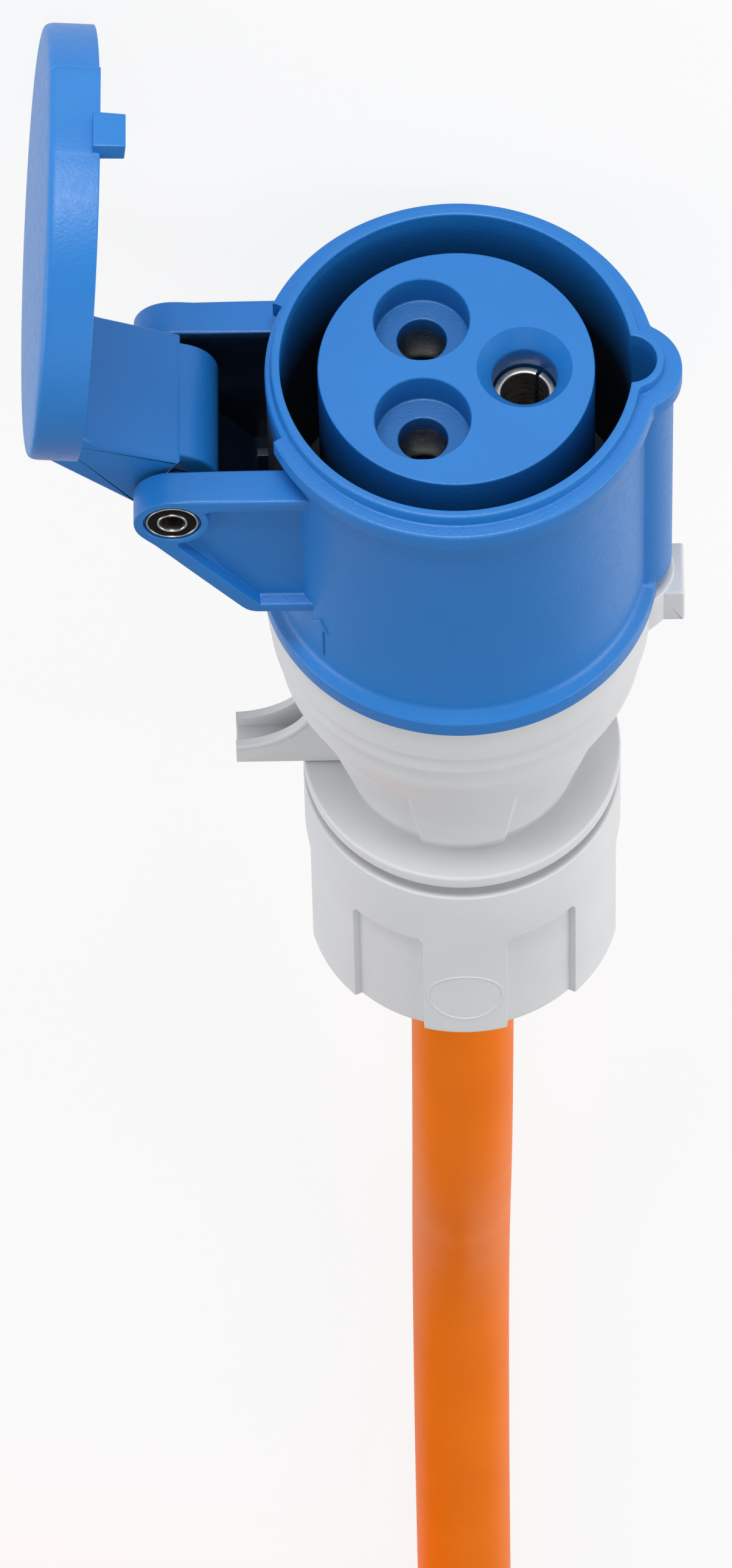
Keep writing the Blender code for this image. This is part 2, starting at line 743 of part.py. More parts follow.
def lid():
    profile = [
        (0, LID_CROWN_H),
        (LID_R * 0.36, LID_CROWN_H - 0.25 * MM),
        (LID_R * 0.7, LID_CROWN_H - 1.0 * MM),
        (LID_R - 2.2 * MM, LID_SKIRT_H + 0.4 * MM),
        (LID_R - 0.9 * MM, LID_SKIRT_H - 0.5 * MM),
        (LID_R - 0.2 * MM, LID_SKIRT_H - 1.6 * MM),
        (LID_R, LID_SKIRT_H - 2.8 * MM),
        (LID_R, 0),
        (0, 0),
    ]
    body = turned("lid", profile, hinge, blue(), steps=48, ring=False)
    moved(body, x=LID_CX, z=LID_CZ)
    half = LID_TAB_W / 2
    soft = 1.5 * MM
    lug_x = KEY_X + FLANGE_NOSE_R - PIN_X + LUG_CLEAR
    tip = lug_x + LUG_T + LID_TAB_EDGE
    tab_side = [
        (LID_CX + LID_R * 0.8, LID_CZ + SHY),
        (tip, LID_CZ + SHY),
        (tip, LID_CZ + LID_SKIRT_H - 2 * soft),
        (tip - 0.3 * soft, LID_CZ + LID_SKIRT_H - soft),
        (tip - soft, LID_CZ + LID_SKIRT_H - 0.3 * soft),
        (tip - 2 * soft, LID_CZ + LID_SKIRT_H),
        (LID_CX + LID_R * 0.8, LID_CZ + LID_SKIRT_H + 0.6 * MM),
    ]
    tab = plate("lid_tab", tab_side, 2 * half, hinge)
    lug = block("lid_lug", (lug_x, -LUG_W / 2, LID_CZ - LUG_H), (lug_x + LUG_T, LUG_W / 2, LID_CZ + 1 * MM), hinge)
    inner = (LID_CX - LID_R + 4.4 * MM, LID_CZ + SHY)
    past_lip = (SEAL_X - LIP_R - 2 * GAP, LID_CZ + SHY)
    inner_bend = (LID_CX - LID_R - 3.5 * MM, LID_CZ - 2.9 * MM)
    outer_bend = (LID_CX - LID_R - 6.8 * MM, LID_CZ + 3.8 * MM)
    outer = (LID_CX - LID_R + 2.6 * MM, LID_CZ + LID_SKIRT_H - 0.2 * MM)
    in_touch, in_angle = tangent(inner_bend, (0, 0), KNUCKLE_R, -1)
    out_touch, out_angle = tangent(outer_bend, (0, 0), KNUCKLE_R, 1)
    around = arc((0, 0), KNUCKLE_R, out_angle, in_angle + 360, 16)
    knuckle = plate("knuckle", [*around, inner_bend, past_lip, inner, outer, outer_bend], 2 * KNUCKLE_Y, hinge)
    start = Vector(out_touch).lerp(Vector(outer_bend), 0.30)
    end = Vector(in_touch).lerp(Vector(inner_bend), 0.12)
    corners = (start, end, inner_bend, past_lip, inner, outer, outer_bend)
    bends = [shrunk(p, (LID_CX - LID_R, LID_CZ)) for p in corners]
    wide = plate("hinge_block", bends, 2 * BLOCK_Y, hinge)
    join(body, tab, lug, wide, knuckle)
    seat = rod("gasket_seat", LID_R - LID_WALL, LID_SEAT_DEPTH, -1 * MM, hinge, steps=48)
    swung(moved(seat, x=LID_CX, z=LID_CZ), 0.04)
    clear = block("lug_clear", (lug_x - 0.2 * MM, -4 * MM, LID_CZ - 2 * MM), (lug_x, 4 * MM, LID_CZ), hinge)
    pocket = rod("lid_pocket", LID_POCKET_R, LID_POCKET_DEPTH, -1 * MM, hinge, steps=40)
    moved(pocket, x=SEAL_X, z=LID_CZ)
    pin_bore = pin_wise("lid_pin_bore", PIN_R + GAP, 2 * BLOCK_Y + 2 * MM, steps=20, parent=hinge)
    return cut(body, seat, clear, pocket, pin_bore)


def lid_gasket():
    outer = LID_R - LID_WALL - GAP
    top = LID_SEAT_DEPTH - GAP
    made = rod("lid_gasket", outer, top, top - GASKET_T, hinge, rubber(), steps=48)
    moved(made, x=LID_CX, z=LID_CZ)
    hole = rod("gasket_hole", LID_POCKET_R + GAP, top + 1 * MM, -1 * MM, hinge, steps=40)
    moved(hole, x=SEAL_X, z=LID_CZ)
    return cut(made, hole)


def lid_pin():
    """A hollow rivet with a flat head at both ends, sunk in the arms."""
    head = ARM_OUT_Y - PIN_HEAD_SEAT + GAP + PIN_HEAD_T
    inside = head - PIN_HEAD_T
    profile = [
        (PIN_BORE_R, head),
        (PIN_HEAD_R, head),
        (PIN_HEAD_R, inside),
        (PIN_R, inside),
        (PIN_R, -inside),
        (PIN_HEAD_R, -inside),
        (PIN_HEAD_R, -head),
        (PIN_BORE_R, -head),
    ]
    made = turned("lid_pin", profile, coupler, nickel(), steps=24)
    made.rotation_euler = (math.pi / 2, 0, 0)
    made.location = (PIN_X, 0, PIN_Z)
    return made


def lid_spring():
    """One turn of wire beside the knuckle, its long leg against the housing and its short leg behind the lid."""
    y = (KNUCKLE_Y + ARM_IN_Y) / 2
    turn = arc((PIN_X, PIN_Z), SPRING_COIL_R, -90, 215, 22)
    wall = -math.sqrt(BODY_R**2 - y**2) - SPRING_WIRE_R - 2 * GAP
    points = [(wall, y, PIN_Z - SPRING_COIL_R)]
    points += [(x, y, z) for x, z in turn]
    return wire("lid_spring", points, SPRING_WIRE_R, coupler, steel(), sides=1)


lid()
lid_gasket()
lid_pin()
lid_spring()


# Rear housing, for coupler and plug

SPIGOT_TOP_Z = RETAINER_Z - RETAINER_T - GAP
COLLAR_TOP_Z = -HOUSING_L - SEAM
SEAL_IN_R = INSERT_R + SEAL_PLAY
SEAL_OUT_R = SEAL_IN_R + SEAL_W
NUT_FLANGE_END_Z = CONE_FOOT_Z - NUT_FLANGE_T


def rear_housing(name, parent, steps):
    outside = [
        (0, SPIGOT_TOP_Z),
        (INSERT_R, SPIGOT_TOP_Z),
        (INSERT_R, COLLAR_TOP_Z - SEAL_T),
        (SEAL_OUT_R + SEAL_PLAY, COLLAR_TOP_Z - SEAL_T),
        (SEAL_OUT_R + SEAL_PLAY, COLLAR_TOP_Z),
        (COLLAR_R, COLLAR_TOP_Z),
        (COLLAR_R, COLLAR_END_Z),
        (COLLAR_R - STEP, COLLAR_END_Z - STEP),
        (COLLAR_R - STEP, STEP_2_Z),
        (CONE_TOP_R, STEP_2_Z - STEP),
        (CONE_TOP_R, CONE_TOP_Z),
        (CONE_TOP_R - 2 * MM, CONE_TOP_Z - 5 * MM),
        (CONE_FOOT_R, CONE_FOOT_Z),
        (NUT_FLANGE_R, CONE_FOOT_Z),
        (NUT_FLANGE_R, NUT_FLANGE_END_Z),
        (THREAD_R, NUT_FLANGE_END_Z),
        (THREAD_R, THREAD_END_Z),
        (0, THREAD_END_Z),
    ]
    body = turned(name, outside, parent, grey(), steps=steps, ring=False)
    hook = plate(name + "_hook", hook_outline(), HOOK_W, parent)
    tab_low = (TAB_X, -TAB_W / 2, TAB_END_Z)
    tab = block(name + "_tab", tab_low, (TAB_X + TAB_T, TAB_W / 2, TAB_TOP_Z), parent)
    scoop = plate(name + "_scoop", scoop_outline(), TAB_W * 0.8, parent)
    join(body, hook, tab, scoop)
    bore_r = INSERT_R - REAR_WALL
    inside = [
        (0, SPIGOT_TOP_Z + BORE_OVER),
        (bore_r, SPIGOT_TOP_Z + BORE_OVER),
        (bore_r, CONE_TOP_Z),
        (CONE_FOOT_R - REAR_WALL, CONE_FOOT_Z + 2 * MM),
        (CONE_FOOT_R - REAR_WALL, CONE_FOOT_Z - 3 * MM),
        (CABLE_R + 1.5 * MM, CONE_FOOT_Z - 6 * MM),
        (CABLE_R + 1.5 * MM, GLAND_SHOULDER_Z),
        (GLAND_BORE_R, GLAND_SHOULDER_Z),
        (GLAND_BORE_R, THREAD_END_Z - BORE_OVER),
        (0, THREAD_END_Z - BORE_OVER),
    ]
    cavity = turned(name + "_cavity", inside, parent, steps=steps, ring=False)
    channel = plate(name + "_channel", hook_channel_outline(), HOOK_W - 2 * HOOK_WALL, parent)
    return cut(body, channel, cavity)


def hook_outline():
    """Side view of the finger hook: a hollow quarter curve on top, a flat end and a flat base."""
    centre = (HOOK_TIP_X, HOOK_TIP_Z + HOOK_CURVE_R)
    top = arc(centre, HOOK_CURVE_R, -90, 0, 10)
    low = NUT_FLANGE_END_Z + 1.5 * MM
    inside = -CONE_FOOT_R + 1 * MM
    return [(HOOK_TIP_X, low), *top, (inside, top[-1][1]), (inside, low)]


def hook_channel_outline():
    """What is hollowed between the hook's two rails, down to its web."""
    web = NUT_FLANGE_END_Z + 1.5 * MM + HOOK_WEB
    centre = (HOOK_TIP_X, HOOK_TIP_Z + HOOK_CURVE_R)
    over = arc(centre, HOOK_CURVE_R - 1 * MM, -90, 0, 10)
    outside = HOOK_TIP_X - 1 * MM
    return [(outside, web), (outside, HOOK_TIP_Z + 1 * MM), *over, (-CONE_FOOT_R - 4 * MM, web)]


def scoop_outline():
    """The fillet that carries the latch tab on the collar."""
    foot = COLLAR_R - 1 * MM
    curve = arc((TAB_X + TAB_T, TAB_END_Z - 2.8 * MM), 3.2 * MM, 90, 180, 6)
    middle = TAB_X + TAB_T / 2
    high = TAB_TOP_Z - 2.5 * MM
    return [(foot, high), (middle, high), (middle, TAB_END_Z + 0.3 * MM), *curve[1:], (foot, TAB_END_Z - 5 * MM)]


def gland(prefix, parent, steps):
    """Rubber bush, fingered clamp, thrust ring and nut, in the order that they slip over the cable."""
    bore = CABLE_R + GAP
    seal_end = GLAND_SHOULDER_Z - GAP - GLAND_SEAL_L
    tube(prefix + "gland_seal", GLAND_BORE_R - GAP, bore, GLAND_SHOULDER_Z - GAP, seal_end, parent, rubber(), 24)
    top = seal_end - GAP
    end = top - COLLET_L
    collet = turned(
        prefix + "clamp_collet",
        [
            (GLAND_BORE_R - GAP, top),
            (GLAND_BORE_R - GAP, top - 2.5 * MM),
            (COLLET_TIP_R, end),
            (bore, end),
            (bore, top),
        ],
        parent,
        grey(),
        steps=24,
    )
    slots = []
    for i in range(COLLET_FINGERS // 2):
        slot = block(
            prefix + "collet_slot_%d" % i,
            (-GLAND_BORE_R, -COLLET_SLOT_W / 2, end - 1 * MM),
            (GLAND_BORE_R, COLLET_SLOT_W / 2, top - 2.5 * MM),
            parent,
        )
        slots.append(swung(slot, math.tau * i / COLLET_FINGERS))
    cut(collet, *slots)
    ring_top = end - GAP
    ring_end = ring_top - THRUST_RING_T
    tube(prefix + "thrust_ring", GLAND_BORE_R, bore + GAP, ring_top, ring_end, parent, steel(), 24)
    nut = turned(
        prefix + "gland_nut",
        [
            (NUT_R, NUT_TOP_Z),
            (NUT_R, NUT_END_Z + 0.6 * MM),
            (NUT_R - 0.6 * MM, NUT_END_Z),
            (bore + GAP, NUT_END_Z),
            (bore + GAP, ring_end - GAP),
            (GLAND_BORE_R + GAP, ring_end - GAP),
            (GLAND_BORE_R + GAP, THREAD_END_Z - 1.5 * MM),
            (THREAD_R + GAP, THREAD_END_Z - 1.5 * MM),
            (THREAD_R + GAP, NUT_TOP_Z),
        ],
        parent,
        grey(),
        steps=steps,
    )
    pockets = []
    width = 360 / NUT_POCKETS / 2
    for i in range(NUT_POCKETS):
        sector = arc((0, 0), NUT_R - NUT_POCKET_DEPTH, -width / 2, width / 2, 3)
        sector += arc((0, 0), NUT_R + 3 * MM, width / 2, -width / 2, 3)
        height = NUT_POCKET_TOP_Z - NUT_END_Z + 2 * MM
        pocket = plate(prefix + "nut_pocket_%d" % i, sector, height, parent, upright=False)
        moved(pocket, z=NUT_POCKET_TOP_Z - height / 2)
        pockets.append(swung(pocket, math.tau * i / NUT_POCKETS))
    return cut(nut, *pockets)


rear_housing("rear_housing", coupler, ROUND)
SEAL_TOP_Z = -HOUSING_L - SEAL_PLAY
SEAL_END_Z = COLLAR_TOP_Z - SEAL_T + SEAL_PLAY
tube("housing_seal", SEAL_OUT_R, SEAL_IN_R, SEAL_TOP_Z, SEAL_END_Z, coupler, rubber(), ROUND)
gland("", coupler, ROUND)


# Plug on the cable's other end

plug = lead_end("plug_axis")


def plug_sleeve():
    base_z = -PLUG_COLLAR_L
    profile = [
        (0, 0),
        (PLUG_COLLAR_R, 0),
        (PLUG_COLLAR_R, base_z),
        (FLANGE_R, base_z),
        (FLANGE_R, base_z - FLANGE_T),
        (BODY_R, base_z - FLANGE_T),
        (BODY_R, REAR_TOP_Z + REAR_FILLET),
        (REAR_FLANGE_R, REAR_TOP_Z),
        (REAR_FLANGE_R, -HOUSING_L),
        (0, -HOUSING_L),
    ]
    body = turned("plug_sleeve", profile, plug, blue(), steps=ROUND_PLUG, ring=False)
    key_low = (PLUG_COLLAR_IN_R, -PLUG_KEY_W / 2, base_z - 1 * MM)
    key = block("plug_key", key_low, (PLUG_KEY_REACH, PLUG_KEY_W / 2, -1 * MM), plug)
    nose = rod("plug_nose", FLANGE_NOSE_R, base_z, base_z - FLANGE_T, plug, at=(KEY_X, 0), steps=20)
    join(body, key, nose)
    bore = turned(
        "plug_bore",
        [
            (0, BORE_OVER),
            (PLUG_COLLAR_IN_R, BORE_OVER),
            (PLUG_COLLAR_IN_R, SHOULDER_Z),
            (OPENING_R, SHOULDER_Z),
            (OPENING_R, -HOUSING_L - BORE_OVER),
            (0, -HOUSING_L - BORE_OVER),
        ],
        plug,
        steps=ROUND_PLUG,
        ring=False,
    )
    return cut(body, bore)


def plug_insert():
    body = turned(
        "pin_carrier",
        [
            (0, PIN_FACE_Z),
            (PLUG_COLLAR_IN_R - GAP, PIN_FACE_Z),
            (PLUG_COLLAR_IN_R - GAP, SHOULDER_Z - GAP),
            (INSERT_R, SHOULDER_Z - GAP),
            (INSERT_R, CARRIER_BACK_Z),
            (0, CARRIER_BACK_Z),
        ],
        plug,
        blue(),
        steps=ROUND_PLUG,
        ring=False,
    )
    holes = []
    for name, (x, y) in CONTACTS.items():
        radius = EARTH_PIN_R if name == "earth" else LINE_PIN_R
        hole = rod("pin_hole_" + name, radius + GAP, PIN_FACE_Z + 1 * MM, CARRIER_BACK_Z - 1 * MM, plug, at=(x, y))
        holes.append(hole)
        tip = 0.9 * MM
        pin = turned(
            name + "_pin",
            [
                (0, PIN_TIP_Z),
                (radius - tip, PIN_TIP_Z),
                (radius, PIN_TIP_Z - tip),
                (radius, PIN_SHANK_END_Z - 4 * MM),
                (0, PIN_SHANK_END_Z - 4 * MM),
            ],
            plug,
            nickel(),
            steps=ROUND_SMALL,
            ring=False,
        )
        moved(pin, x=x, y=y)
        away = Vector((x, y)).normalized()
        place = {"x": x + away.x * 0.8 * MM, "y": y + away.y * 0.8 * MM, "z": PIN_SHANK_END_Z - 1 * MM}
        hole = cross_rod("pin_screw_hole_" + name, 1.2 * MM + GAP, radius + 1 * MM, plug)
        swung(moved(hole, **place), math.atan2(away.y, away.x))
        cut(pin, hole)
        place["x"] += away.x * GAP
        place["y"] += away.y * GAP
        screw = cross_rod("plug_" + name + "_screw", 1.2 * MM, TERMINAL_SCREW_L, plug, steel(), steps=10)
        swung(moved(screw, **place), math.atan2(away.y, away.x))
    return cut(body, *holes)


plug_sleeve()
plug_insert()
tube("plug_retainer", INSERT_R, RETAINER_IN_R, RETAINER_Z, RETAINER_Z - RETAINER_T, plug, grey(), 24)
rear_housing("plug_rear_housing", plug, ROUND_PLUG)
tube("plug_housing_seal", SEAL_OUT_R, SEAL_IN_R, SEAL_TOP_Z, SEAL_END_Z, plug, rubber(), ROUND_PLUG)
gland("plug_", plug, ROUND_PLUG)


# Cores inside both ends

def cores(prefix, parent):
    """Three insulated cores, from the cut sheath to the terminals."""
    looks = {
        "earth": material("green core", GREEN, 0.5),
        "line": material("brown core", BROWN, 0.5),
        "neutral": material("blue core", LIGHT_BLUE, 0.5),
    }
    terminal_z = SLEEVE_END_Z - 4 * MM - GAP
    for name, (x, y) in CONTACTS.items():
        near = Vector((x, y, 0)).normalized() * CABLE_R * 0.5
        points = [
            Vector((near.x, near.y, SHEATH_END_Z + GAP)),
            Vector((near.x, near.y, SHEATH_END_Z + 6 * MM)),
            Vector((x * 1.15, y * 1.15, (SHEATH_END_Z + terminal_z) / 2)),
            Vector((x, y, terminal_z - 6 * MM)),
            Vector((x, y, terminal_z)),
        ]
        wire(prefix + name + "_core", smooth_path(points, 5 * MM), CORE_R, parent, looks[name], sides=1)


cores("", coupler)
cores("plug_", plug)


# Both connectors laid on the floor: mouth towards -Y, front up

PITCH = 2 * CABLE_R + TURN_GAP
LAYER = 2 * CABLE_R + LAYER_GAP
OUTER_TURN_R = MIDDLE_TURN_R + PITCH
INNER_TURN_R = MIDDLE_TURN_R - PITCH
COIL_AT = (OUTER_TURN_R, COIL_Y)
COIL_OUT_R = OUTER_TURN_R + CABLE_R
COIL_IN_R = INNER_TURN_R - CABLE_R
COIL_STEP_R = MIDDLE_TURN_R + CABLE_R
COIL_STEP_Z = 3 * LAYER
COIL_TOP_Z = 4 * LAYER
TOP_TURN_Z = COIL_STEP_Z + GAP + CABLE_R
TAIL_X = COIL_AT[0] + MIDDLE_TURN_R
PLUG_X = TAIL_X - PLUG_ASIDE
PLUG_MOUTH_Y = COIL_Y - PLUG_BACK + NUT_END_Z

floor_lay = bpy.data.objects.new("floor_lay", None)
parts.objects.link(floor_lay)
LYING = Matrix(((-1, 0, 0, 0), (0, 0, -1, 0), (0, -1, 0, 0), (0, 0, 0, 1)))
coupler.matrix_world = Matrix.Translation((0, 0, AXIS_HEIGHT)) @ LYING
plug.matrix_world = Matrix.Translation((PLUG_X, PLUG_MOUTH_Y, REAR_FLANGE_R)) @ LYING


# Cable: out of the coupler, down to the floor, through the coil, and back to the plug

def cable_start():
    """Points from inside the coupler's gland down to the floor, chosen by hand."""
    leaves = -NUT_END_Z
    high = AXIS_HEIGHT
    low = CABLE_R + GAP / 4
    drop = ((42, 0), (58, 0.9), (74, 3.4), (90, 7.4), (106, 12.2), (122, 16.4), (138, 19.2), (154, 20.4))
    drop += ((166, 20.6), (178, 20.6))
    places = [(0, -SHEATH_END_Z, high), (0, leaves, high)]
    places += [(0, leaves + along * MM, high - fall * MM * (high - low) / (20.6 * MM)) for along, fall in drop]
    return [Vector(place) for place in places]


def cable_end():
    """Points from the coil's top turn down and aside into the plug's gland: an S of two equal arcs."""
    high = TOP_TURN_Z
    low = REAR_FLANGE_R
    leaves = math.sqrt(COIL_STEP_R**2 - (MIDDLE_TURN_R - CABLE_R) ** 2) + GAP
    places = [(TAIL_X, COIL_Y - leaves, high)]
    for i in range(9):
        t = i / 8
        share = 2 * t * t if t < 0.5 else 1 - 2 * (1 - t) ** 2
        along = TAIL_STRAIGHT + (PLUG_BACK - PLUG_STRAIGHT - TAIL_STRAIGHT) * t
        places.append((TAIL_X - PLUG_ASIDE * share, COIL_Y - along, high + share * (low - high)))
    places.append((PLUG_X, COIL_Y - PLUG_BACK, low))
    places.append((PLUG_X, PLUG_MOUTH_Y - SHEATH_END_Z, low))
    return [Vector(place) for place in places]


def cable():
    orange = material("orange sheath", ORANGE, 0.45)
    reach = math.sqrt(COIL_OUT_R**2 - (OUTER_TURN_R - CABLE_R) ** 2) + GAP
    route = [*cable_start(), Vector((0, COIL_Y - reach, CABLE_R + GAP / 4))]
    wire("cable_run", smooth_path(route, 9 * MM), CABLE_R, floor_lay, orange)
    wire("cable_tail", smooth_path(cable_end(), 9 * MM), CABLE_R, floor_lay, orange)
    coil = turned(
        "cable_coil",
        [
            (COIL_OUT_R, COIL_STEP_Z),
            (COIL_OUT_R, 0),
            (COIL_IN_R, 0),
            (COIL_IN_R, COIL_TOP_Z),
            (COIL_STEP_R, COIL_TOP_Z),
            (COIL_STEP_R, COIL_STEP_Z),
        ],
        floor_lay,
        orange,
        steps=64,
    )
    moved(coil, x=COIL_AT[0], y=COIL_AT[1])
    under = TIE_T + GAP
    for name, angle in zip(("coil_tie_a", "coil_tie_b"), TIE_ANGLES):
        near = COIL_IN_R * math.cos(TIE_W / 2 / COIL_IN_R) - 2 * GAP
        far = COIL_OUT_R + GAP
        top = COIL_TOP_Z + GAP
        inside = [(near, TIE_T), (far, TIE_T), (far, COIL_STEP_Z + GAP), (COIL_STEP_R + GAP, top), (near, top)]
        wall = TIE_T
        outside = [
            (near - wall, 0),
            (far + wall, 0),
            (far + wall, COIL_STEP_Z + GAP + wall / 2),
            (COIL_STEP_R + GAP + wall / 2, top + wall),
            (near - wall, top + wall),
        ]
        tie = plate(name, outside, TIE_W, floor_lay, rubber())
        hollow = plate(name + "_hollow", inside, TIE_W + 2 * MM, floor_lay)
        notch_low = (COIL_IN_R - 3 * MM, -TIE_W / 2 - GAP, -1 * MM)
        notch = block(name + "_notch", notch_low, (COIL_OUT_R + 3 * MM, TIE_W / 2 + GAP, under), floor_lay)
        for piece in (tie, hollow, notch):
            swung(moved(piece, x=COIL_AT[0], y=COIL_AT[1]), math.radians(angle))
        cut(tie, hollow)
        cut(coil, notch)


cable()


# The origin goes under the middle of the coupler, on the floor

def belongs_to(piece, root):
    while piece.parent:
        piece = piece.parent
    return piece == root


def settle():
    bpy.context.view_layer.update()
    seen = bpy.context.evaluated_depsgraph_get()
    xs = []
    ys = []
    for piece in parts.objects:
        if piece.type == "MESH" and belongs_to(piece, coupler):
            shape = piece.evaluated_get(seen)
            for vertex in shape.data.vertices:
                place = shape.matrix_world @ vertex.co
                xs.append(place.x)
                ys.append(place.y)
    shift = Vector(((min(xs) + max(xs)) / 2, (min(ys) + max(ys)) / 2, 0))
    for root in (coupler, plug, floor_lay):
        root.location -= shift


settle()
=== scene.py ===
"""Looks of an industrial extension cable: coupler with its lid open, orange cable in a coil, and plug.

Sizes are millimetres on each connector's own bench: +X to the keyway, -Y to the front, +Z out of the mouth,
with z = 0 at the mouth's edge. Each connector is then laid on its back, in metres.
"""

import math

import bmesh
import bpy
import numpy as np
from mathutils import Matrix, Vector


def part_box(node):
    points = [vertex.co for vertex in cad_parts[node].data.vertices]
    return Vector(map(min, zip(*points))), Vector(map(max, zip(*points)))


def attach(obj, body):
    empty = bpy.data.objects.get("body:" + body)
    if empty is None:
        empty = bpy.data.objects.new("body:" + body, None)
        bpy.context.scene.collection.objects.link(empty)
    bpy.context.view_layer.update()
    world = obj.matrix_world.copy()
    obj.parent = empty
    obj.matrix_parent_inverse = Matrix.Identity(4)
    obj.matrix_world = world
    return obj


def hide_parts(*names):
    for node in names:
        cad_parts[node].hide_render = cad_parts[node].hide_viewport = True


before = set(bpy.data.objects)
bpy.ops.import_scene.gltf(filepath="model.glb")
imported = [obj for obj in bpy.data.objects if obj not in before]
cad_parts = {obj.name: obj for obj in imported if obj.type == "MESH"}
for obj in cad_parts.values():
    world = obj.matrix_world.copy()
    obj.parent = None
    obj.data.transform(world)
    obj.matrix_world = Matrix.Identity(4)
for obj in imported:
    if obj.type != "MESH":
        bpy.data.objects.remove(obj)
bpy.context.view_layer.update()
scene = bpy.context.scene


# Cable
# A heavy three-core cable in a smooth, slightly matt orange polyurethane sheath, 14.2 mm thick and 5 m long.
# It leaves the coupler's gland, sinks to the floor, is wound in a coil of three turns by four layers, and
# runs from the top of the coil down into the plug's gland.
CABLE_R = 7.1
NUT_END = 134.0
COIL_Y = 470.0
MIDDLE_TURN_R = 75.8
TURN_PITCH = 14.6
LAYER_PITCH = 14.3
TAIL_STRAIGHT = 68.0
PLUG_BACK = 164.0
PLUG_STRAIGHT = 14.0
SWAY = 1.5
ORANGE = (0.95, 0.202, 0.008, 1.0)
ORANGE_DEEP = (0.90, 0.185, 0.007, 1.0)
CRISP = math.radians(38)


def bench_of(node, mouth_node):
    """Where a connector's axis meets its mouth, in mm: a ring's middle, and the mouth's lowest y."""
    low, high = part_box(node)
    mouth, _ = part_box(mouth_node)
    return np.array([(low.x + high.x) / 2, mouth.y, (low.z + high.z) / 2]) * 1000


COUPLER = bench_of("carrier_retainer", "front_housing")
PLUG = bench_of("plug_retainer", "plug_sleeve")


def lay_down(points, bench):
    """Bench millimetres to row metres: X = x0 - x, Y = y0 - z, Z = z0 - y."""
    x, y, z = np.moveaxis(points, -1, 0)
    return np.stack([bench[0] - x, bench[1] - z, bench[2] - y], -1) / 1000


def on_bench(bench, *grids):
    """Grids drawn on a connector's bench, laid down for skin. One given as points alone wraps its columns."""
    full = [grid if isinstance(grid, tuple) else (grid, False, True) for grid in grids]
    return [(lay_down(points, bench), rows, columns) for points, rows, columns in full]


def placed(name, data):
    """A new object of the scene."""
    piece = bpy.data.objects.new(name, data)
    scene.collection.objects.link(piece)
    return piece


def skin(name, grids, look, body, slot, stands_for=(), uv=None):
    """One closed mesh from grids of points (row, column, xyz) in row metres, each quad joining neighbours.

    A grid is (points, rows wrap, columns wrap). Doubled points are merged, so a row drawn at one point makes
    a pole and grids that share an edge are joined. Edges sharper than 38 degrees stay crisp.
    """
    points = []
    faces = []
    laid = []
    start = 0
    for grid, rows_wrap, columns_wrap in grids:
        index = np.arange(grid.shape[0] * grid.shape[1]).reshape(grid.shape[:2]) + start
        start += index.size
        if rows_wrap:
            index = np.vstack([index, index[:1]])
        if columns_wrap:
            index = np.hstack([index, index[:, :1]])
        quads = np.stack([index[:-1, :-1], index[:-1, 1:], index[1:, 1:], index[1:, :-1]], -1)
        points.append(grid.reshape(-1, 3))
        faces.append(quads.reshape(-1, 4))
        if uv is not None:
            rows = np.arange(quads.shape[0])[:, None, None] + np.array([0, 0, 1, 1])
            columns = np.arange(quads.shape[1])[None, :, None] + np.array([0, 1, 1, 0])
            laid.append(np.stack(np.broadcast_arrays(uv[0][rows], columns / quads.shape[1] * uv[1]), -1))
    mesh = bpy.data.meshes.new(name)
    mesh.from_pydata(np.vstack(points), [], np.vstack(faces).tolist())
    if uv is not None:
        layer = mesh.uv_layers.new(name="sheath")
        layer.data.foreach_set("uv", np.vstack([part.reshape(-1, 2) for part in laid]).ravel())
    shape = bmesh.new()
    shape.from_mesh(mesh)
    bmesh.ops.remove_doubles(shape, verts=shape.verts, dist=2e-6)
    bmesh.ops.dissolve_degenerate(shape, edges=shape.edges, dist=1e-7)
    bmesh.ops.recalc_face_normals(shape, faces=shape.faces)
    shape.to_mesh(mesh)
    shape.free()
    mesh.shade_smooth()
    mesh.set_sharp_from_angle(angle=CRISP)
    mesh.materials.append(look)
    piece = placed(name, mesh)
    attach(piece, body)
    if stands_for:
        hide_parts(*stands_for)
    return piece


def through(points, each=24):
    """A smooth line through points: on each span the cubic whose ends lean along the neighbours' chord."""
    ends = np.vstack([2 * points[0] - points[1], points, 2 * points[-1] - points[-2]])
    a, b, c, d = (ends[i : len(ends) - 3 + i, None] for i in range(4))
    t = np.linspace(0, 1, each, endpoint=False)[None, :, None]
    line = b + (c - a) * t / 2 + (a - 2.5 * b + 2 * c - d / 2) * t**2 + (1.5 * (b - c) + (d - a) / 2) * t**3
    return np.vstack([line.reshape(-1, points.shape[1]), points[-1:]])


def evenly(line, spacing=0.0, count=0):
    """The same line with its points at even distances: a spacing for an open one, a count all round."""
    if count:
        line = np.vstack([line, line[:1]])
    at = np.concatenate([[0], np.cumsum(np.linalg.norm(np.diff(line, axis=0), axis=1))])
    want = np.linspace(0, at[-1], count or int(round(at[-1] / spacing)) + 1, endpoint=not count)
    return np.stack([np.interp(want, at, column) for column in line.T], 1)


def along_path(path, section):
    """A closed flat section carried square to a path: each point is path + u * side + v * up.

    The side is level and square to the path, which never stands upright here, and up is square to both.
    """
    ahead = np.gradient(path, axis=0)
    ahead /= np.linalg.norm(ahead, axis=1)[:, None]
    side = np.cross(ahead, [0, 0, 1])
    side /= np.linalg.norm(side, axis=1)[:, None]
    up = np.cross(side, ahead)
    return path[:, None] + section[None, :, :1] * side[:, None] + section[None, :, 1:] * up[:, None]


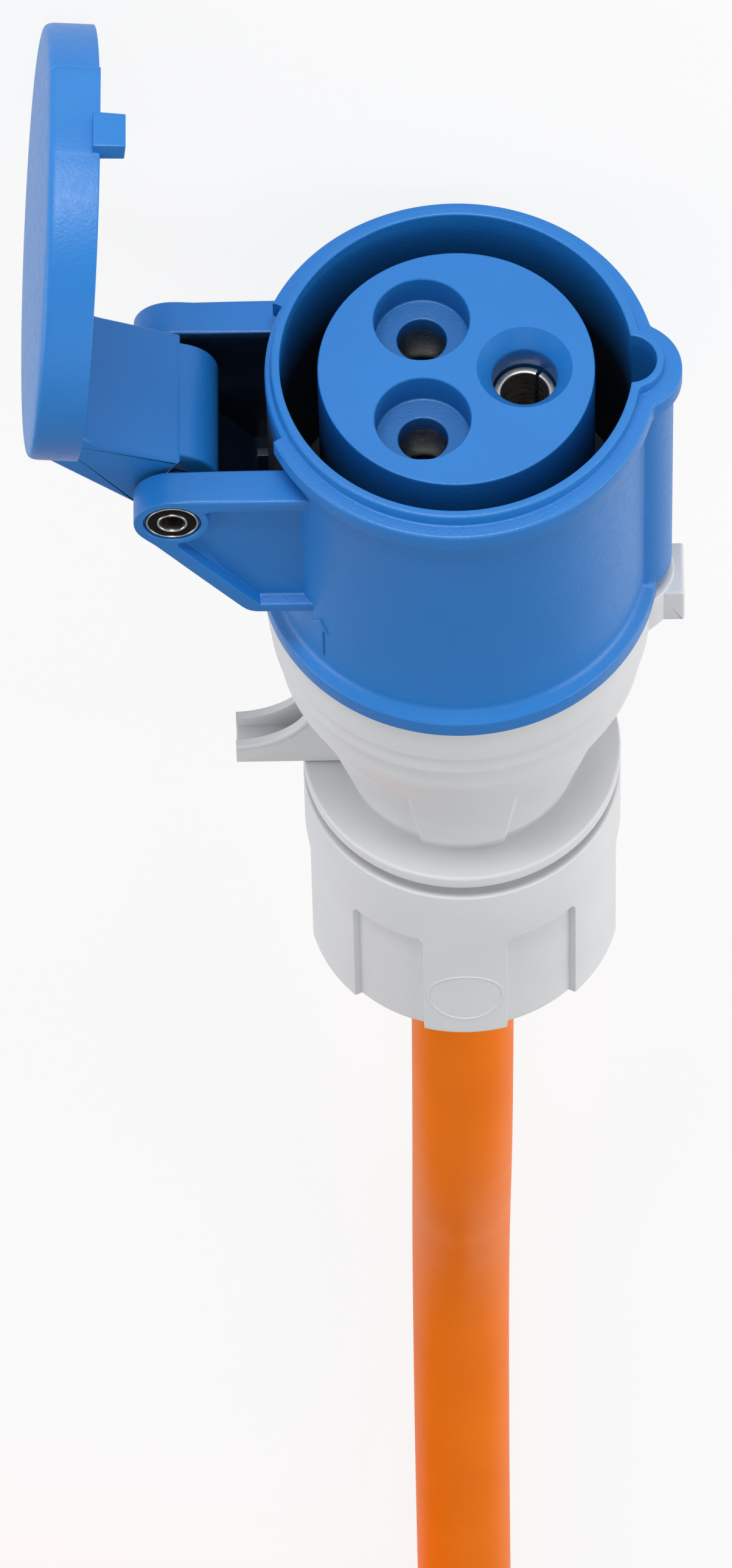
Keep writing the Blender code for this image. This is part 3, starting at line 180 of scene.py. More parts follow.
def circle(angle):
    """Points at the given angles on a circle of radius 1."""
    return np.stack([np.cos(angle), np.sin(angle)], -1)


def ring(radius, count):
    """A circle's points."""
    return radius * circle(np.arange(count) / count * math.tau)


def add(tree, kind, inputs, **settings):
    """The outputs of a new shader node, each of whose inputs is set to a value or linked to a socket."""
    node = tree.nodes.new("ShaderNode" + kind)
    for name, setting in settings.items():
        setattr(node, name, setting)
    for key, value in inputs.items():
        if isinstance(value, bpy.types.NodeSocket):
            tree.links.new(value, node.inputs[key])
        else:
            node.inputs[key].default_value = value
    return node.outputs


def noise(tree, place, scale, detail=2.0, roughness=0.5):
    """A noise texture's value on the given coordinates."""
    inputs = {"Vector": place, "Scale": scale, "Detail": detail, "Roughness": roughness}
    return add(tree, "TexNoise", inputs)["Fac"]


def spread(tree, value, low, high, start=0.3, end=0.7):
    """A value carried from start..end to low..high and held at both ends."""
    inputs = {"Value": value, "From Min": start, "From Max": end, "To Min": low, "To Max": high}
    return add(tree, "MapRange", inputs)["Result"]


def two_tone(tree, value, first, second):
    """A colour between two, by a value from 0 to 1."""
    return add(tree, "Mix", {"Factor": value, 6: first, 7: second}, data_type="RGBA")[2]


def relief(tree, height, distance, strength, under=None):
    """A bump of the given depth in metres, on top of another bump if there is one."""
    inputs = {"Height": height, "Distance": distance, "Strength": strength}
    return add(tree, "Bump", inputs | ({"Normal": under} if under else {}))["Normal"]


def blank_look(name):
    """A new material with its tree, its shader and its own place on the piece."""
    look = bpy.data.materials.new(name)
    look.use_nodes = True
    tree = look.node_tree
    return look, tree, tree.nodes["Principled BSDF"], add(tree, "TexCoord", {})["Object"]


def stretched(tree, place, scale):
    """Unevenly scaled coordinates, which draw noise out into lines."""
    return add(tree, "Mapping", {"Vector": place, "Scale": scale})["Vector"]


def clouded(tree, shader, value, first, second):
    """The shader's colour, between two by a noise value."""
    tree.links.new(two_tone(tree, spread(tree, value, 0, 1), first, second), shader.inputs["Base Color"])


def toothed(tree, shader, value, low, high, bump):
    """The shader's roughness, between two by a noise value, and its bump."""
    tree.links.new(spread(tree, value, low, high), shader.inputs["Roughness"])
    tree.links.new(bump, shader.inputs["Normal"])


def sheath(name, first, second):
    """Extruded polyurethane: long faint draw lines along the cable, a fine orange-peel, and a soft gloss."""
    look, tree, shader, place = blank_look(name)
    lines = noise(tree, stretched(tree, add(tree, "TexCoord", {})["UV"], (0.9, 60.0, 1.0)), 1.0, 3.0)
    peel = noise(tree, place, 1900.0)
    clouded(tree, shader, noise(tree, place, 60.0), first, second)
    drawn = relief(tree, lines, 0.00005, 0.5)
    toothed(tree, shader, peel, 0.36, 0.46, relief(tree, peel, 0.00003, 0.6, drawn))
    shader.inputs["Specular IOR Level"].default_value = 0.04
    return look


def eased(t):
    """From 0 to 1: a share of the fifth-degree ease and the rest of the third-degree one."""
    t = np.clip(t, 0, 1)
    return 0.35 * t**3 * (t * (6 * t - 15) + 10) + 0.65 * t * t * (3 - 2 * t)


def coil_path(radius, count):
    """The turns about (0, 0): at turn angle f, (-R cos f, R sin f, z), stepping between turns and layers."""
    f = np.linspace(0, 3420, count)
    far = np.full(count, radius + TURN_PITCH)
    height = np.full(count, CABLE_R + 0.05)
    for start, width, inward, upward in (
        (255, 110, -1, 0), (615, 110, -1, 0), (915, 80, 0, 1), (1190, 110, 1, 0), (1550, 110, 1, 0),
        (1850, 80, 0, 1), (2125, 110, -1, 0), (2485, 110, -1, 0), (2785, 80, 0, 1), (3060, 110, 1, 0),
    ):
        step = eased((f - start) / width)
        far += inward * TURN_PITCH * step
        height += upward * LAYER_PITCH * step
    turned = np.radians(f)
    return np.stack([-far * np.cos(turned), far * np.sin(turned), height], 1)


def cable_path():
    """The whole route in row millimetres, from inside the coupler's gland to inside the plug's."""
    x0, y0, z0 = COUPLER
    floor_z = CABLE_R + 0.075
    along = np.array([-29, -12, 0, 14, 28, 42, 58, 74, 90, 106, 122, 138, 154, 166, 178])
    fall = np.array([0, 0, 0, 0, 0, 0, 0.9, 3.4, 7.4, 12.2, 16.4, 19.2, 20.4, 20.6, 20.6]) / 20.6
    run = through(np.stack([0 * along + x0, y0 + NUT_END + along, z0 + (floor_z - z0) * fall], 1))
    flat_y = np.arange(run[-1, 1] + 6, y0 + COIL_Y - 4, 6)
    flat = np.stack([0 * flat_y + x0, flat_y, 0 * flat_y + floor_z], 1)
    lead = np.vstack([run, flat])
    gone = lead[:, 1] - y0
    lead[:, 0] += SWAY * eased((gone - 60) / 290) * (1 - eased((gone - 370) / 90))
    middle = np.array([x0 + MIDDLE_TURN_R + TURN_PITCH, y0 + COIL_Y, 0])
    coil = coil_path(MIDDLE_TURN_R, 1400) + middle
    x1, _, z1 = coil[-1]
    off = np.arange(6, TAIL_STRAIGHT, 6)
    straight = np.stack([0 * off + x1, middle[1] - off, 0 * off + z1], 1)
    t = np.linspace(0, 1, 21)
    share = np.where(t < 0.5, 2 * t * t, 1 - 2 * (1 - t) ** 2)
    back = TAIL_STRAIGHT + (PLUG_BACK - PLUG_STRAIGHT - TAIL_STRAIGHT) * t
    bend = np.stack([x1 + (PLUG[0] - x1) * share, middle[1] - back, z1 + (PLUG[2] - z1) * share], 1)
    last = np.array([[PLUG[0], middle[1] - PLUG_BACK - inside, PLUG[2]] for inside in (14, 29)])
    return np.vstack([lead, coil, straight, bend, last])


def capped(line, section):
    """The section's tube with both ends drawn to a point on its own line, so that it is closed."""
    tube = along_path(line, section)
    first = np.broadcast_to(line[0], tube[:1].shape)
    last = np.broadcast_to(line[-1], tube[:1].shape)
    return np.vstack([first, tube, last])


orange_sheath = sheath("orange_sheath", ORANGE, ORANGE_DEEP)
cable_line = evenly(cable_path(), 3.6) / 1000
cable_rows = np.arange(len(cable_line) + 2) * 0.0036
cable = skin(
    "cable", [(capped(cable_line, ring(CABLE_R / 1000, 32)), False, True)], orange_sheath, "housing",
    "orange_sheath", ("cable_run", "cable_coil", "cable_tail"), uv=(cable_rows, math.tau * CABLE_R / 1000),
)


# Front housing of the coupler
# One moulding in blue polyamide: a thin tube with a raised lip, a flange round its mouth with the keyway's
# nose on one side, and two hollow-sided arms for the lid's hinge. Its surface is finely eroded and matt.
MOUTH_R = 22.75
LIP_R = 23.9
LIP_END = -1.85
FLANGE_R = 25.9
FLANGE_END = -4.9
BODY_R = 24.6
REAR_FLANGE_R = 26.2
REAR_FLANGE_TOP = -46.6
HOUSING_END = -49.4
KEY_X = 22.2
KEY_R = 3.6
KEY_END = -36.0
PIN = np.array([-36.9, -13.6])
BOSS_R = 5.0
ARM_IN = 10.6
ARM_OUT = 15.6
ARM_RAIL = 2.2
ARM_POCKET = 1.7
ARM_FOOT = np.array([-27.3, -35.1])
BLUE = (0.011, 0.170, 0.515, 1.0)
BLUE_DEEP = (0.009, 0.160, 0.49, 1.0)
# Painted shade: the near-black colour that the hollows are darkened towards, and the depths in metres over
# which it sets in, in the bore and between the arms.
PAINTED_SHADE = (0.0015, 0.003, 0.007, 1.0)
BORE_SHADE_DEPTHS = (0.003, 0.015)
HOLLOW_SHADE_DEPTHS = (0.003, 0.010)


def moulded(name, first, second, rough, grain):
    """Injection-moulded polyamide: a fine eroded grain in relief and gloss, and faint clouds of colour."""
    look, tree, shader, place = blank_look(name)
    fine = noise(tree, place, 2600.0, 2.0, 0.6)
    coarse = noise(tree, place, 900.0)
    clouded(tree, shader, noise(tree, place, 70.0, 3.0), first, second)
    under = relief(tree, coarse, grain * 0.5, 0.5)
    toothed(tree, shader, coarse, rough - 0.04, rough + 0.04, relief(tree, fine, grain, 0.7, under))
    return look


def result(tree, operation, first, second=0.0):
    """A math node's result on two values, each a socket or a number."""
    return add(tree, "Math", {0: first, 1: second}, operation=operation)["Value"]


def painted_shade_inside(look, bench):
    """The look with painted shade in its hollows, by place on the piece itself.

    The painted shade lies in the bore and between the hinge's arms, behind their web, and deepens with depth.
    """
    tree = look.node_tree
    apart = add(tree, "SeparateXYZ", {"Vector": add(tree, "TexCoord", {})["Object"]})
    x, depth, z = [result(tree, "SUBTRACT", apart[i], bench[i] / 1000) for i in range(3)]
    squares = [result(tree, "MULTIPLY", value, value) for value in (x, z)]
    away = result(tree, "SQRT", result(tree, "ADD", *squares))
    in_bore = spread(tree, away, 1, 0, 0.02285, 0.0231)
    bore = result(tree, "MULTIPLY", in_bore, spread(tree, depth, 0, 1, *BORE_SHADE_DEPTHS))
    from_line = [result(tree, "MULTIPLY", x, -ARM_INWARD[0]), result(tree, "MULTIPLY", depth, -ARM_INWARD[1])]
    inward = result(tree, "SUBTRACT", result(tree, "ADD", *from_line), ARM_TOUCH @ ARM_INWARD / 1000)
    hollow = spread(tree, depth, 0, 1, *HOLLOW_SHADE_DEPTHS)
    for limit in (
        spread(tree, x, 0, 1, 0.0222, 0.0226),
        spread(tree, result(tree, "ABSOLUTE", z), 1, 0, 0.01063, 0.0108),
        spread(tree, inward, 0, 1, 0.0005, 0.0015),
    ):
        hollow = result(tree, "MULTIPLY", hollow, limit)
    share = result(tree, "MULTIPLY", result(tree, "MAXIMUM", bore, hollow), 0.97)
    colour = tree.nodes["Principled BSDF"].inputs["Base Color"]
    # The base colour is mixed towards the painted shade colour.
    tree.links.new(two_tone(tree, share, colour.links[0].from_socket, PAINTED_SHADE), colour)
    return look


def soften(corners, radius, steps=5, closed=True):
    """Each corner C becomes (1-t)^2 A + 2t(1-t) C + t^2 B, with A and B its radius before and after it."""
    radius = np.array(np.broadcast_to(radius, (len(corners),)), dtype=float)
    if not closed:
        radius[0] = radius[-1] = 0
    radius = radius.reshape(-1, *[1] * (corners.ndim - 1))
    ends = []
    for turn in (1, -1):
        step = np.roll(corners, turn, 0) - corners
        length = np.maximum(np.linalg.norm(step, axis=-1, keepdims=True), 1e-9)
        ends.append(corners + step * np.minimum(radius / length, 0.5))
    t = np.linspace(0, 1, steps).reshape(1, steps, *[1] * (corners.ndim - 1))
    soft = (1 - t) ** 2 * ends[0][:, None] + 2 * t * (1 - t) * corners[:, None] + t * t * ends[1][:, None]
    return soft.reshape(-1, *corners.shape[1:])


def spun(profile, angle):
    """A profile of (r, z), the same or one for each angle, turned about the axis: (r cos a, r sin a, z)."""
    if profile.ndim == 2:
        profile = np.broadcast_to(profile[:, None], (len(profile), len(angle), 2))
    return np.stack([profile[..., 0] * np.cos(angle), profile[..., 0] * np.sin(angle), profile[..., 1]], -1)


def nose(angle, centre, radius):
    """Distance from the axis to the far side of a circle on +X: c cos a + sqrt(r^2 - c^2 sin^2 a), or 0."""
    inside = radius**2 - (centre * np.sin(angle)) ** 2
    reach = centre * np.cos(angle) + np.sqrt(np.maximum(inside, 0))
    return np.where((inside > 0) & (np.cos(angle) > 0), reach, 0)


def larger(a, b, blend=0.3):
    """The larger of two, eased where they meet: (a + b + sqrt((a - b)^2 + k^2)) / 2."""
    return (a + b + np.sqrt((a - b) ** 2 + blend**2)) / 2


def per_angle(rows, angle):
    """Corners (radius or radius array, z) as one array of rows by angles."""
    return np.stack([np.stack(np.broadcast_arrays(r, z, 0 * angle)[:2], -1) for r, z in rows])


def fine_angles(*dense):
    """Angles all the way round every 1.5 degrees, and finer ones where asked: (from, to, step) in degrees."""
    parts = [np.arange(-180, 180, 1.5)] + [np.arange(*span) for span in dense]
    return np.radians(np.unique(np.round((np.concatenate(parts) + 180) % 360 - 180, 3)))


def housing_tube():
    """The wall's closed section for each angle: lip, flange, ridge and rear flange, then bore and keyway."""
    a = fine_angles((-22, 22, 0.3), (155.6, 156.1, 0.2), (-156, -155.5, 0.2))
    between_arms = np.abs(np.abs(np.degrees(a)) - 180) < 24.2
    lip = larger(LIP_R, nose(a, KEY_X, 4.5))
    flange = np.where(between_arms, BODY_R + 0.1, larger(FLANGE_R, nose(a, KEY_X, 6.9)))
    body = larger(BODY_R, nose(a, KEY_X, 5.8))
    rear = np.maximum(REAR_FLANGE_R, body)
    bore = np.maximum(MOUTH_R, nose(a, KEY_X, KEY_R))
    rows = [
        (bore, 0), (lip, 0), (lip, LIP_END), (flange, LIP_END), (flange, FLANGE_END), (body, FLANGE_END),
        (body, REAR_FLANGE_TOP + 1.2), (rear, REAR_FLANGE_TOP), (rear, REAR_FLANGE_TOP - 0.3),
        (REAR_FLANGE_R, REAR_FLANGE_TOP - 0.32), (REAR_FLANGE_R, HOUSING_END), (MOUTH_R, HOUSING_END),
        (MOUTH_R, -40.0), (20.5, -40.0), (20.5, -38.0), (MOUTH_R, -38.0), (MOUTH_R, KEY_END - 0.05),
        (bore, KEY_END),
    ]
    radius = [0.3, 0.35, 0.3, 0.45, 0.35, 0.35, 0.8, 0.3, 0.1, 0.2, 0.35, 0.2, 0.2, 0.2, 0.2, 0.2, 0.1, 0.1]
    return spun(soften(per_angle(rows, a), radius, 5), a)


def ray_to(outline, centre, angle):
    """Distance from a centre to a closed outline along each angle: its edges' farthest p x e / d x e."""
    p = outline - centre
    e = np.roll(p, -1, 0) - p
    d = circle(angle)[:, None]
    across = d[..., 0] * e[:, 1] - d[..., 1] * e[:, 0]
    across = np.where(np.abs(across) < 1e-12, 1e-12, across)
    along = (p[:, 0] * e[:, 1] - p[:, 1] * e[:, 0]) / across
    share = (p[:, 0] * d[..., 1] - p[:, 1] * d[..., 0]) / across
    return np.where((share > -1e-9) & (share < 1 + 1e-9) & (along > 0), along, 0).max(1)


def arc(centre, radius, start, end, count):
    """Points on an arc between two angles in degrees."""
    return np.asarray(centre) + radius * circle(np.radians(np.linspace(start, end, count)))


def touching(point, centre, radius, side):
    """Where the line from a point touches a circle, and the angle there in degrees."""
    away = np.asarray(point) - centre
    angle = math.atan2(away[1], away[0]) + side * math.acos(radius / math.hypot(*away))
    return centre + radius * np.array([math.cos(angle), math.sin(angle)]), math.degrees(angle)


ARM_TOUCH, ARM_TURN = touching(ARM_FOOT, PIN, BOSS_R, -1)
ARM_SLOPE = (ARM_FOOT - ARM_TOUCH) / np.linalg.norm(ARM_FOOT - ARM_TOUCH)
ARM_INWARD = np.array([-ARM_SLOPE[1], ARM_SLOPE[0]])


def arm_side():
    """Side view of an arm: boss arc, level top, slanted edge, and a foot with a small round."""
    boss = arc(PIN, BOSS_R, 90, ARM_TURN + 360 if ARM_TURN < 90 else ARM_TURN, 60)
    foot = soften(np.array([ARM_TOUCH, ARM_FOOT, [-17.0, ARM_FOOT[1]]]), 1.4, 8, False)[8:16]
    return np.vstack([[[-17.0, PIN[1] + BOSS_R]], boss, foot, [[-17.0, ARM_FOOT[1]]]])


def arm_hollow():
    """The sunk web of an arm's outer side, inside its top, slanted and bottom rails."""
    start = ARM_TOUCH + ARM_INWARD * ARM_RAIL
    low = ARM_FOOT[1] + ARM_RAIL * 0.85
    end = start + ARM_SLOPE * (low - start[1]) / ARM_SLOPE[1]
    top = PIN[1] + BOSS_R - ARM_RAIL
    return np.array([[-17.0, top], [PIN[0], top], start, end, [-17.0, low]])


def arm(side):
    """Rings about the pin on an arm's outer face: pin hole, sunk head seat, raised boss, web, rail and rim.

    Each ring is (distance from the pin, height of the face), for every angle; the inner face closes it, and
    what would pass the housing's wall is drawn back to it.
    """
    a = np.radians(np.arange(0, 360, 0.75))
    edge = ray_to(arm_side(), PIN, a)
    hollow = ray_to(arm_hollow(), PIN, a)
    deep = ARM_POCKET * np.clip((hollow - 5.7) / 0.7, 0, 1)
    boss = np.minimum(4.7, edge - 0.3)
    web_in = np.where(deep > 0, 4.95, boss + 0.02)
    web_out = np.where(deep > 0, hollow - 0.2, boss + 0.04)
    rail = np.where(deep > 0, hollow, boss + 0.06)
    rows = [
        (2.6, -0.9), (3.75, -0.9), (3.75, 0), (boss, 0), (web_in, -deep), (web_out, -deep),
        (rail, 0), (edge, 0), (edge, ARM_IN - ARM_OUT), (2.6, ARM_IN - ARM_OUT),
    ]
    ring = soften(per_angle(rows, a), [0, 0.1, 0.25, 0.3, 0.3, 0.3, 0.25, 0.55, 0.55, 0.1], 5)
    y = side * (ARM_OUT + ring[..., 1])
    wall = -np.sqrt(23.7**2 - y**2)
    x = np.minimum(PIN[0] + ring[..., 0] * np.cos(a), wall)
    return np.stack([x, y, PIN[1] + ring[..., 0] * np.sin(a)], -1)


def with_height(flat, height):
    """Rows of flat points, each row at its own height."""
    return np.concatenate([flat, np.broadcast_to(height[:, None, None], (*flat.shape[:2], 1))], -1)


def pillow(outline, count, low, high, edge, centre=None, steps=5):
    """A flat outline (u, v) with a count of even points, given a thickness in w, with round rims.

    Row by row it is drawn in along its normals by e (1 - sin t) while w rises by e (1 - cos t), and both
    ends close at the centre.
    """
    outline = evenly(outline, count=count)
    run = np.roll(outline, -1, 0) - np.roll(outline, 1, 0)
    out = np.stack([run[:, 1], -run[:, 0]], 1) / np.linalg.norm(run, axis=1)[:, None]
    shifted = np.roll(outline, -1, 0)
    if (outline[:, 0] * shifted[:, 1] - outline[:, 1] * shifted[:, 0]).sum() < 0:
        out = -out
    centre = outline.mean(0) if centre is None else np.asarray(centre)
    t = np.linspace(0, math.pi / 2, steps)
    drawn = edge * (1 - np.sin(t))
    raised = edge * (1 - np.cos(t))
    flat = outline[None] - np.concatenate([drawn, drawn[::-1]])[:, None, None] * out[None]
    pole = np.broadcast_to(centre, flat[:1].shape)
    flat = np.vstack([pole, flat, pole])
    return with_height(flat, np.concatenate([[low], low + raised, high - raised[::-1], [high]]))


def upright(grid):
    """Pillow axes (u, v, w) as bench x, z and y."""
    return grid[..., [0, 2, 1]]


def arm_web():
    """The thin wall between the arms, along the lower part of their slanted edges and their foot."""
    top = ARM_TOUCH + (ARM_FOOT - ARM_TOUCH) * 0.35
    inner_top = top + ARM_INWARD * 1.6
    low = ARM_FOOT[1] + 1.6
    inner_foot = inner_top + ARM_SLOPE * (low - inner_top[1]) / ARM_SLOPE[1]
    corners = np.array([top, ARM_FOOT, [-23.2, ARM_FOOT[1]], [-23.2, low], inner_foot, inner_top])
    return soften(corners, [0.5, 1.4, 0.1, 0.1, 0.6, 0.5], 6)


blue_nylon = moulded("blue_nylon", BLUE, BLUE_DEEP, 0.43, 0.00006)
# Blue with painted shade in the bore and between the hinge's arms, darker with depth; the front shell and the
# insert wear it.
blue_painted_shade = painted_shade_inside(moulded("blue_painted_shade", BLUE, BLUE_DEEP, 0.43, 0.00006), COUPLER)
web = upright(pillow(arm_web(), 120, -11.0, 11.0, 0.1, centre=(-27.3, -34.2)))
rib_side = np.array([[-26.1, -34.4], [-26.1, -20.6], [-23.0, -20.6], [-23.0, -34.4]])
rib = upright(pillow(rib_side, 80, -0.7, 0.7, 0.2))
tubes = [(part, True, True) for part in (housing_tube(), arm(-1), arm(1))]
shells = on_bench(COUPLER, *tubes, web, rib)
skin("front_shell", shells, blue_painted_shade, "housing", "blue_nylon", ("front_housing",))


def arrow_mark():
    """A plain raised arrow along the housing's side, where it shows which way the lid shuts."""
    half = np.array([[1.5, 2.0], [0.55, 2.0], [0.55, -4.2]])
    corners = np.vstack([[[0, 4.2]], half, half[::-1] * [-1, 1]])
    flat = pillow(soften(corners, 0.15, 4), 140, 0, 0.32, 0.1, centre=(0, 1.9), steps=4)
    turn = math.radians(-137.5) + flat[..., 0] / BODY_R
    out = BODY_R - 0.12 + flat[..., 2]
    return np.stack([out * np.cos(turn), out * np.sin(turn), -39.3 + flat[..., 1]], -1)


skin("arrow_mark", on_bench(COUPLER, arrow_mark()), blue_nylon, "housing", "blue_nylon")


# Contact insert of the coupler
# A round block of the same blue polyamide, held against a shoulder in the bore. It has a conical mouth over
# the earth contact and stepped mouths over line and neutral.
PITCH_R = 8.8
CONTACT_TURNS = {"earth": 0, "line": 120, "neutral": -120}
CONTACT_AT = {
    contact: PITCH_R * np.append(circle(math.radians(turn)), 0) for contact, turn in CONTACT_TURNS.items()
}
PIN_R = {"earth": 3.0, "line": 2.5, "neutral": 2.5}
FACE_R = 17.9
FACE_Z = -1.6
INSERT_R = 22.45
INSERT_STEP = -40.3
INSERT_END = -43.3


def insert_block(face_r, face_z, wells):
    """Three 120-degree sectors, each a grid from its outline in to its hole, down the well and out again
    underneath to the outline, and an outer wall that shares the sectors' arc points.
    """
    grids = []
    arcs = []
    for (contact, turn), (depth, soft) in zip(CONTACT_TURNS.items(), wells):
        arc_at = np.radians(turn + np.linspace(-60, 60, 41))
        arcs.append(arc_at[:-1])
        rim = circle(arc_at)
        share = np.linspace(0, 1, 20, endpoint=False)[:, None]
        loop = np.vstack([rim[0] * share, rim, (rim[-1] * share)[:0:-1]])
        centre = CONTACT_AT[contact][:2]
        outer = loop * (face_r - 0.35)
        seen = np.arctan2(*(outer - centre).T[::-1])
        well = soften(np.array(depth), soft, 5, False)
        bored = centre + well[:, None, :1] * circle(seen)
        step = np.linspace(0, 1, 5)[:-1, None, None]
        top = outer + (bored[0] - outer) * step
        under = bored[-1] + (loop * INSERT_R - bored[-1]) * (1 - step[::-1])
        flat = np.vstack([top, bored, under])
        z = np.concatenate([np.full(len(top), face_z), well[:, 1], np.full(len(under), INSERT_END)])
        grids.append(with_height(flat, z))
    side = np.array([
        [face_r - 0.35, face_z], [face_r, face_z], [face_r, INSERT_STEP], [INSERT_R, INSERT_STEP],
        [INSERT_R, INSERT_END],
    ])
    grids.append(spun(soften(side, [0, 0.35, 0.3, 0.3, 0], 6, False), np.concatenate(arcs)))
    return grids


earth_well = (
    [[6.2, FACE_Z], [4.2, -3.95], [4.2, -7.2], [4.35, -7.3], [4.35, INSERT_END]], [0, 0.3, 0.1, 0.1, 0],
)
line_well = (
    [
        [6.35, FACE_Z], [6.2, FACE_Z - 0.15], [6.2, -6.45], [3.2, -6.45], [3.2, -9.3], [3.85, -9.4],
        [3.85, INSERT_END],
    ],
    [0, 0.1, 0.3, 0.25, 0.1, 0.1, 0],
)
insert_grids = on_bench(COUPLER, *insert_block(FACE_R, FACE_Z, [earth_well, line_well, line_well]))
# The insert's well walls and sides, deep in the bore, get the painted shade.
skin("socket_insert", insert_grids, blue_painted_shade, "housing", "blue_nylon", ("contact_carrier",))


# Contact sleeves of the coupler
# Turned from brass and nickel-plated, with a slit so that they grip the plug's pins. They sit deep in the
# insert, and a screw behind it clamps each core.
NICKEL = (0.66, 0.64, 0.60, 1.0)
NICKEL_DEEP = (0.50, 0.48, 0.45, 1.0)
SLEEVE_END = -50.5


def plated(name, first, second, rough, lines):
    """Plated or rolled metal: turning lines across the axis, and small dull patches."""
    look, tree, shader, place = blank_look(name)
    turned = noise(tree, stretched(tree, place, lines), 1.0, 3.0)
    clouded(tree, shader, noise(tree, place, 500.0), first, second)
    toothed(tree, shader, turned, rough, rough + 0.16, relief(tree, turned, 0.00002, 0.4))
    shader.inputs["Metallic"].default_value = 1.0
    return look


def pointed(grid):
    """A grid with its first and last rows drawn to a point."""
    ends = [np.broadcast_to(grid[i].mean(0), grid[:1].shape) for i in (0, -1)]
    return np.vstack([ends[0], grid, ends[1]])


def slit_tube(inner, outer, top, slit_at):
    """A closed section carried round from one side of the slit to the other, both ends drawn to a point."""
    floor = INSERT_END - 0.3
    rows = [[outer, top], [outer, SLEEVE_END], [0.02, SLEEVE_END], [0.02, floor], [inner, floor]]
    section = soften(np.array([*rows, [inner, top]]), [0.15, 0.2, 0, 0, 0.1, 0.3], 4)
    half = math.degrees(0.25 / inner)
    a = np.radians(slit_at + np.linspace(half, 360 - half, 90))
    return pointed(spun(section, a).swapaxes(0, 1)).swapaxes(0, 1)


nickel = plated("nickel_plate", NICKEL, NICKEL_DEEP, 0.2, (300.0, 4000.0, 300.0))
for contact, radius in PIN_R.items():
    sleeve_top = -7.6 if contact == "earth" else -16.5
    sleeve = slit_tube(radius + 0.05, radius + 1.05, sleeve_top, 58.5) + CONTACT_AT[contact]
    sleeve = on_bench(COUPLER, (sleeve, True, False))
    skin(contact + "_socket", sleeve, nickel, "housing", "nickel_brass", (contact + "_sleeve",))


# Hinge pin and spring
# The lid turns on a hollow rivet of plated steel whose flared heads lie in the arms' seats, each with a black
# washer between its bright rims. Beside the lid's knuckle a turn of spring wire pushes the lid shut.
def about_pin(section):
    """A closed section (distance from the pin's axis, y) turned about the pin."""
    a = np.radians(np.arange(0, 360, 4.0))
    x = PIN[0] + section[:, :1] * np.cos(a)
    z = PIN[1] + section[:, :1] * np.sin(a)
    return np.stack([x, np.broadcast_to(section[:, 1:], x.shape), z], -1), True, True


rivet_half = np.array([
    [1.62, 15.1], [1.7, 15.5], [1.98, 15.5], [2.02, 15.2], [3.12, 15.2], [3.16, 15.42], [3.4, 15.42],
    [3.45, 14.85], [2.3, 14.8],
])
rivet_rounds = [0.2, 0.14, 0.14, 0.05, 0.05, 0.1, 0.12, 0.1, 0.1]
rivet = soften(np.vstack([rivet_half, rivet_half[::-1] * [1, -1]]), rivet_rounds + rivet_rounds[::-1], 5)
skin("hinge_rivet", on_bench(COUPLER, about_pin(rivet)), nickel, "housing", "nickel_brass", ("lid_pin",))
steel = plated("zinc_steel", (0.62, 0.62, 0.63, 1.0), (0.5, 0.5, 0.52, 1.0), 0.25, [900.0] * 3)
washer = soften(np.array([[2.03, 15.0], [2.03, 15.33], [3.12, 15.33], [3.12, 15.0]]), [0, 0.08, 0.08, 0], 4)
washers = on_bench(COUPLER, *[about_pin(washer * [1, end]) for end in (-1, 1)])
black_steel = plated("black_steel", (0.01, 0.01, 0.009, 1.0), (0.006, 0.006, 0.006, 1.0), 0.3, [500.0] * 3)
skin("rivet_washers", washers, black_steel, "housing", "nickel_brass")
SPRING_Y = 9.65
SPRING_R = 3.5
WIRE_R = 0.44
spring_side = np.vstack([PIN + [4.5, -SPRING_R], arc(PIN, SPRING_R, -90, 215, 70)])
spring_line = np.insert(spring_side, 1, SPRING_Y, 1)
spring_line = evenly(lay_down(spring_line, COUPLER), 0.0003)
spring = [(capped(spring_line, ring(WIRE_R / 1000, 12)), False, True)]
skin("hinge_spring", spring, steel, "housing", "zinc_steel", ("lid_spring",))


# Lid
# A domed round cap in the same blue, with a thick tab and a latch lug on the keyway side and a broad block
# with a knuckle on the hinge side. It is drawn shut, from the pin, and swung open 84.3 degrees about it.
LID_OPEN = math.radians(84.3)
LID_R = 27.7
LID_C = np.array([40.9, 14.0])
POCKET_C = 36.9
POCKET_R = 20.0
TAB_REACH = 27.62
TAB_TURN = math.radians(-5.96)
TAB_FAR = 8.0
TAB_NEAR = 5.4
CROWN = 7.2
POCKET_TOP = 5.6
LUG = np.array([68.3, -2.2])
LUG_LOW = -3.1
KNUCKLE_R = 6.0
BEND_IN = np.array([9.7, 11.1])
BEND_OUT = np.array([6.4, 17.8])
TOUCH_IN, TURN_IN = touching(BEND_IN, np.zeros(2), KNUCKLE_R, -1)
TOUCH_OUT, TURN_OUT = touching(BEND_OUT, np.zeros(2), KNUCKLE_R, 1)


def swing_open(points):
    """Pin axes to bench: x' = x cos a - z sin a and z' = x sin a + z cos a, with a the open angle."""
    x, y, z = np.moveaxis(points, -1, 0)
    c, s = math.cos(LID_OPEN), math.sin(LID_OPEN)
    return np.stack([PIN[0] + x * c - z * s, y, PIN[1] + x * s + z * c], -1)


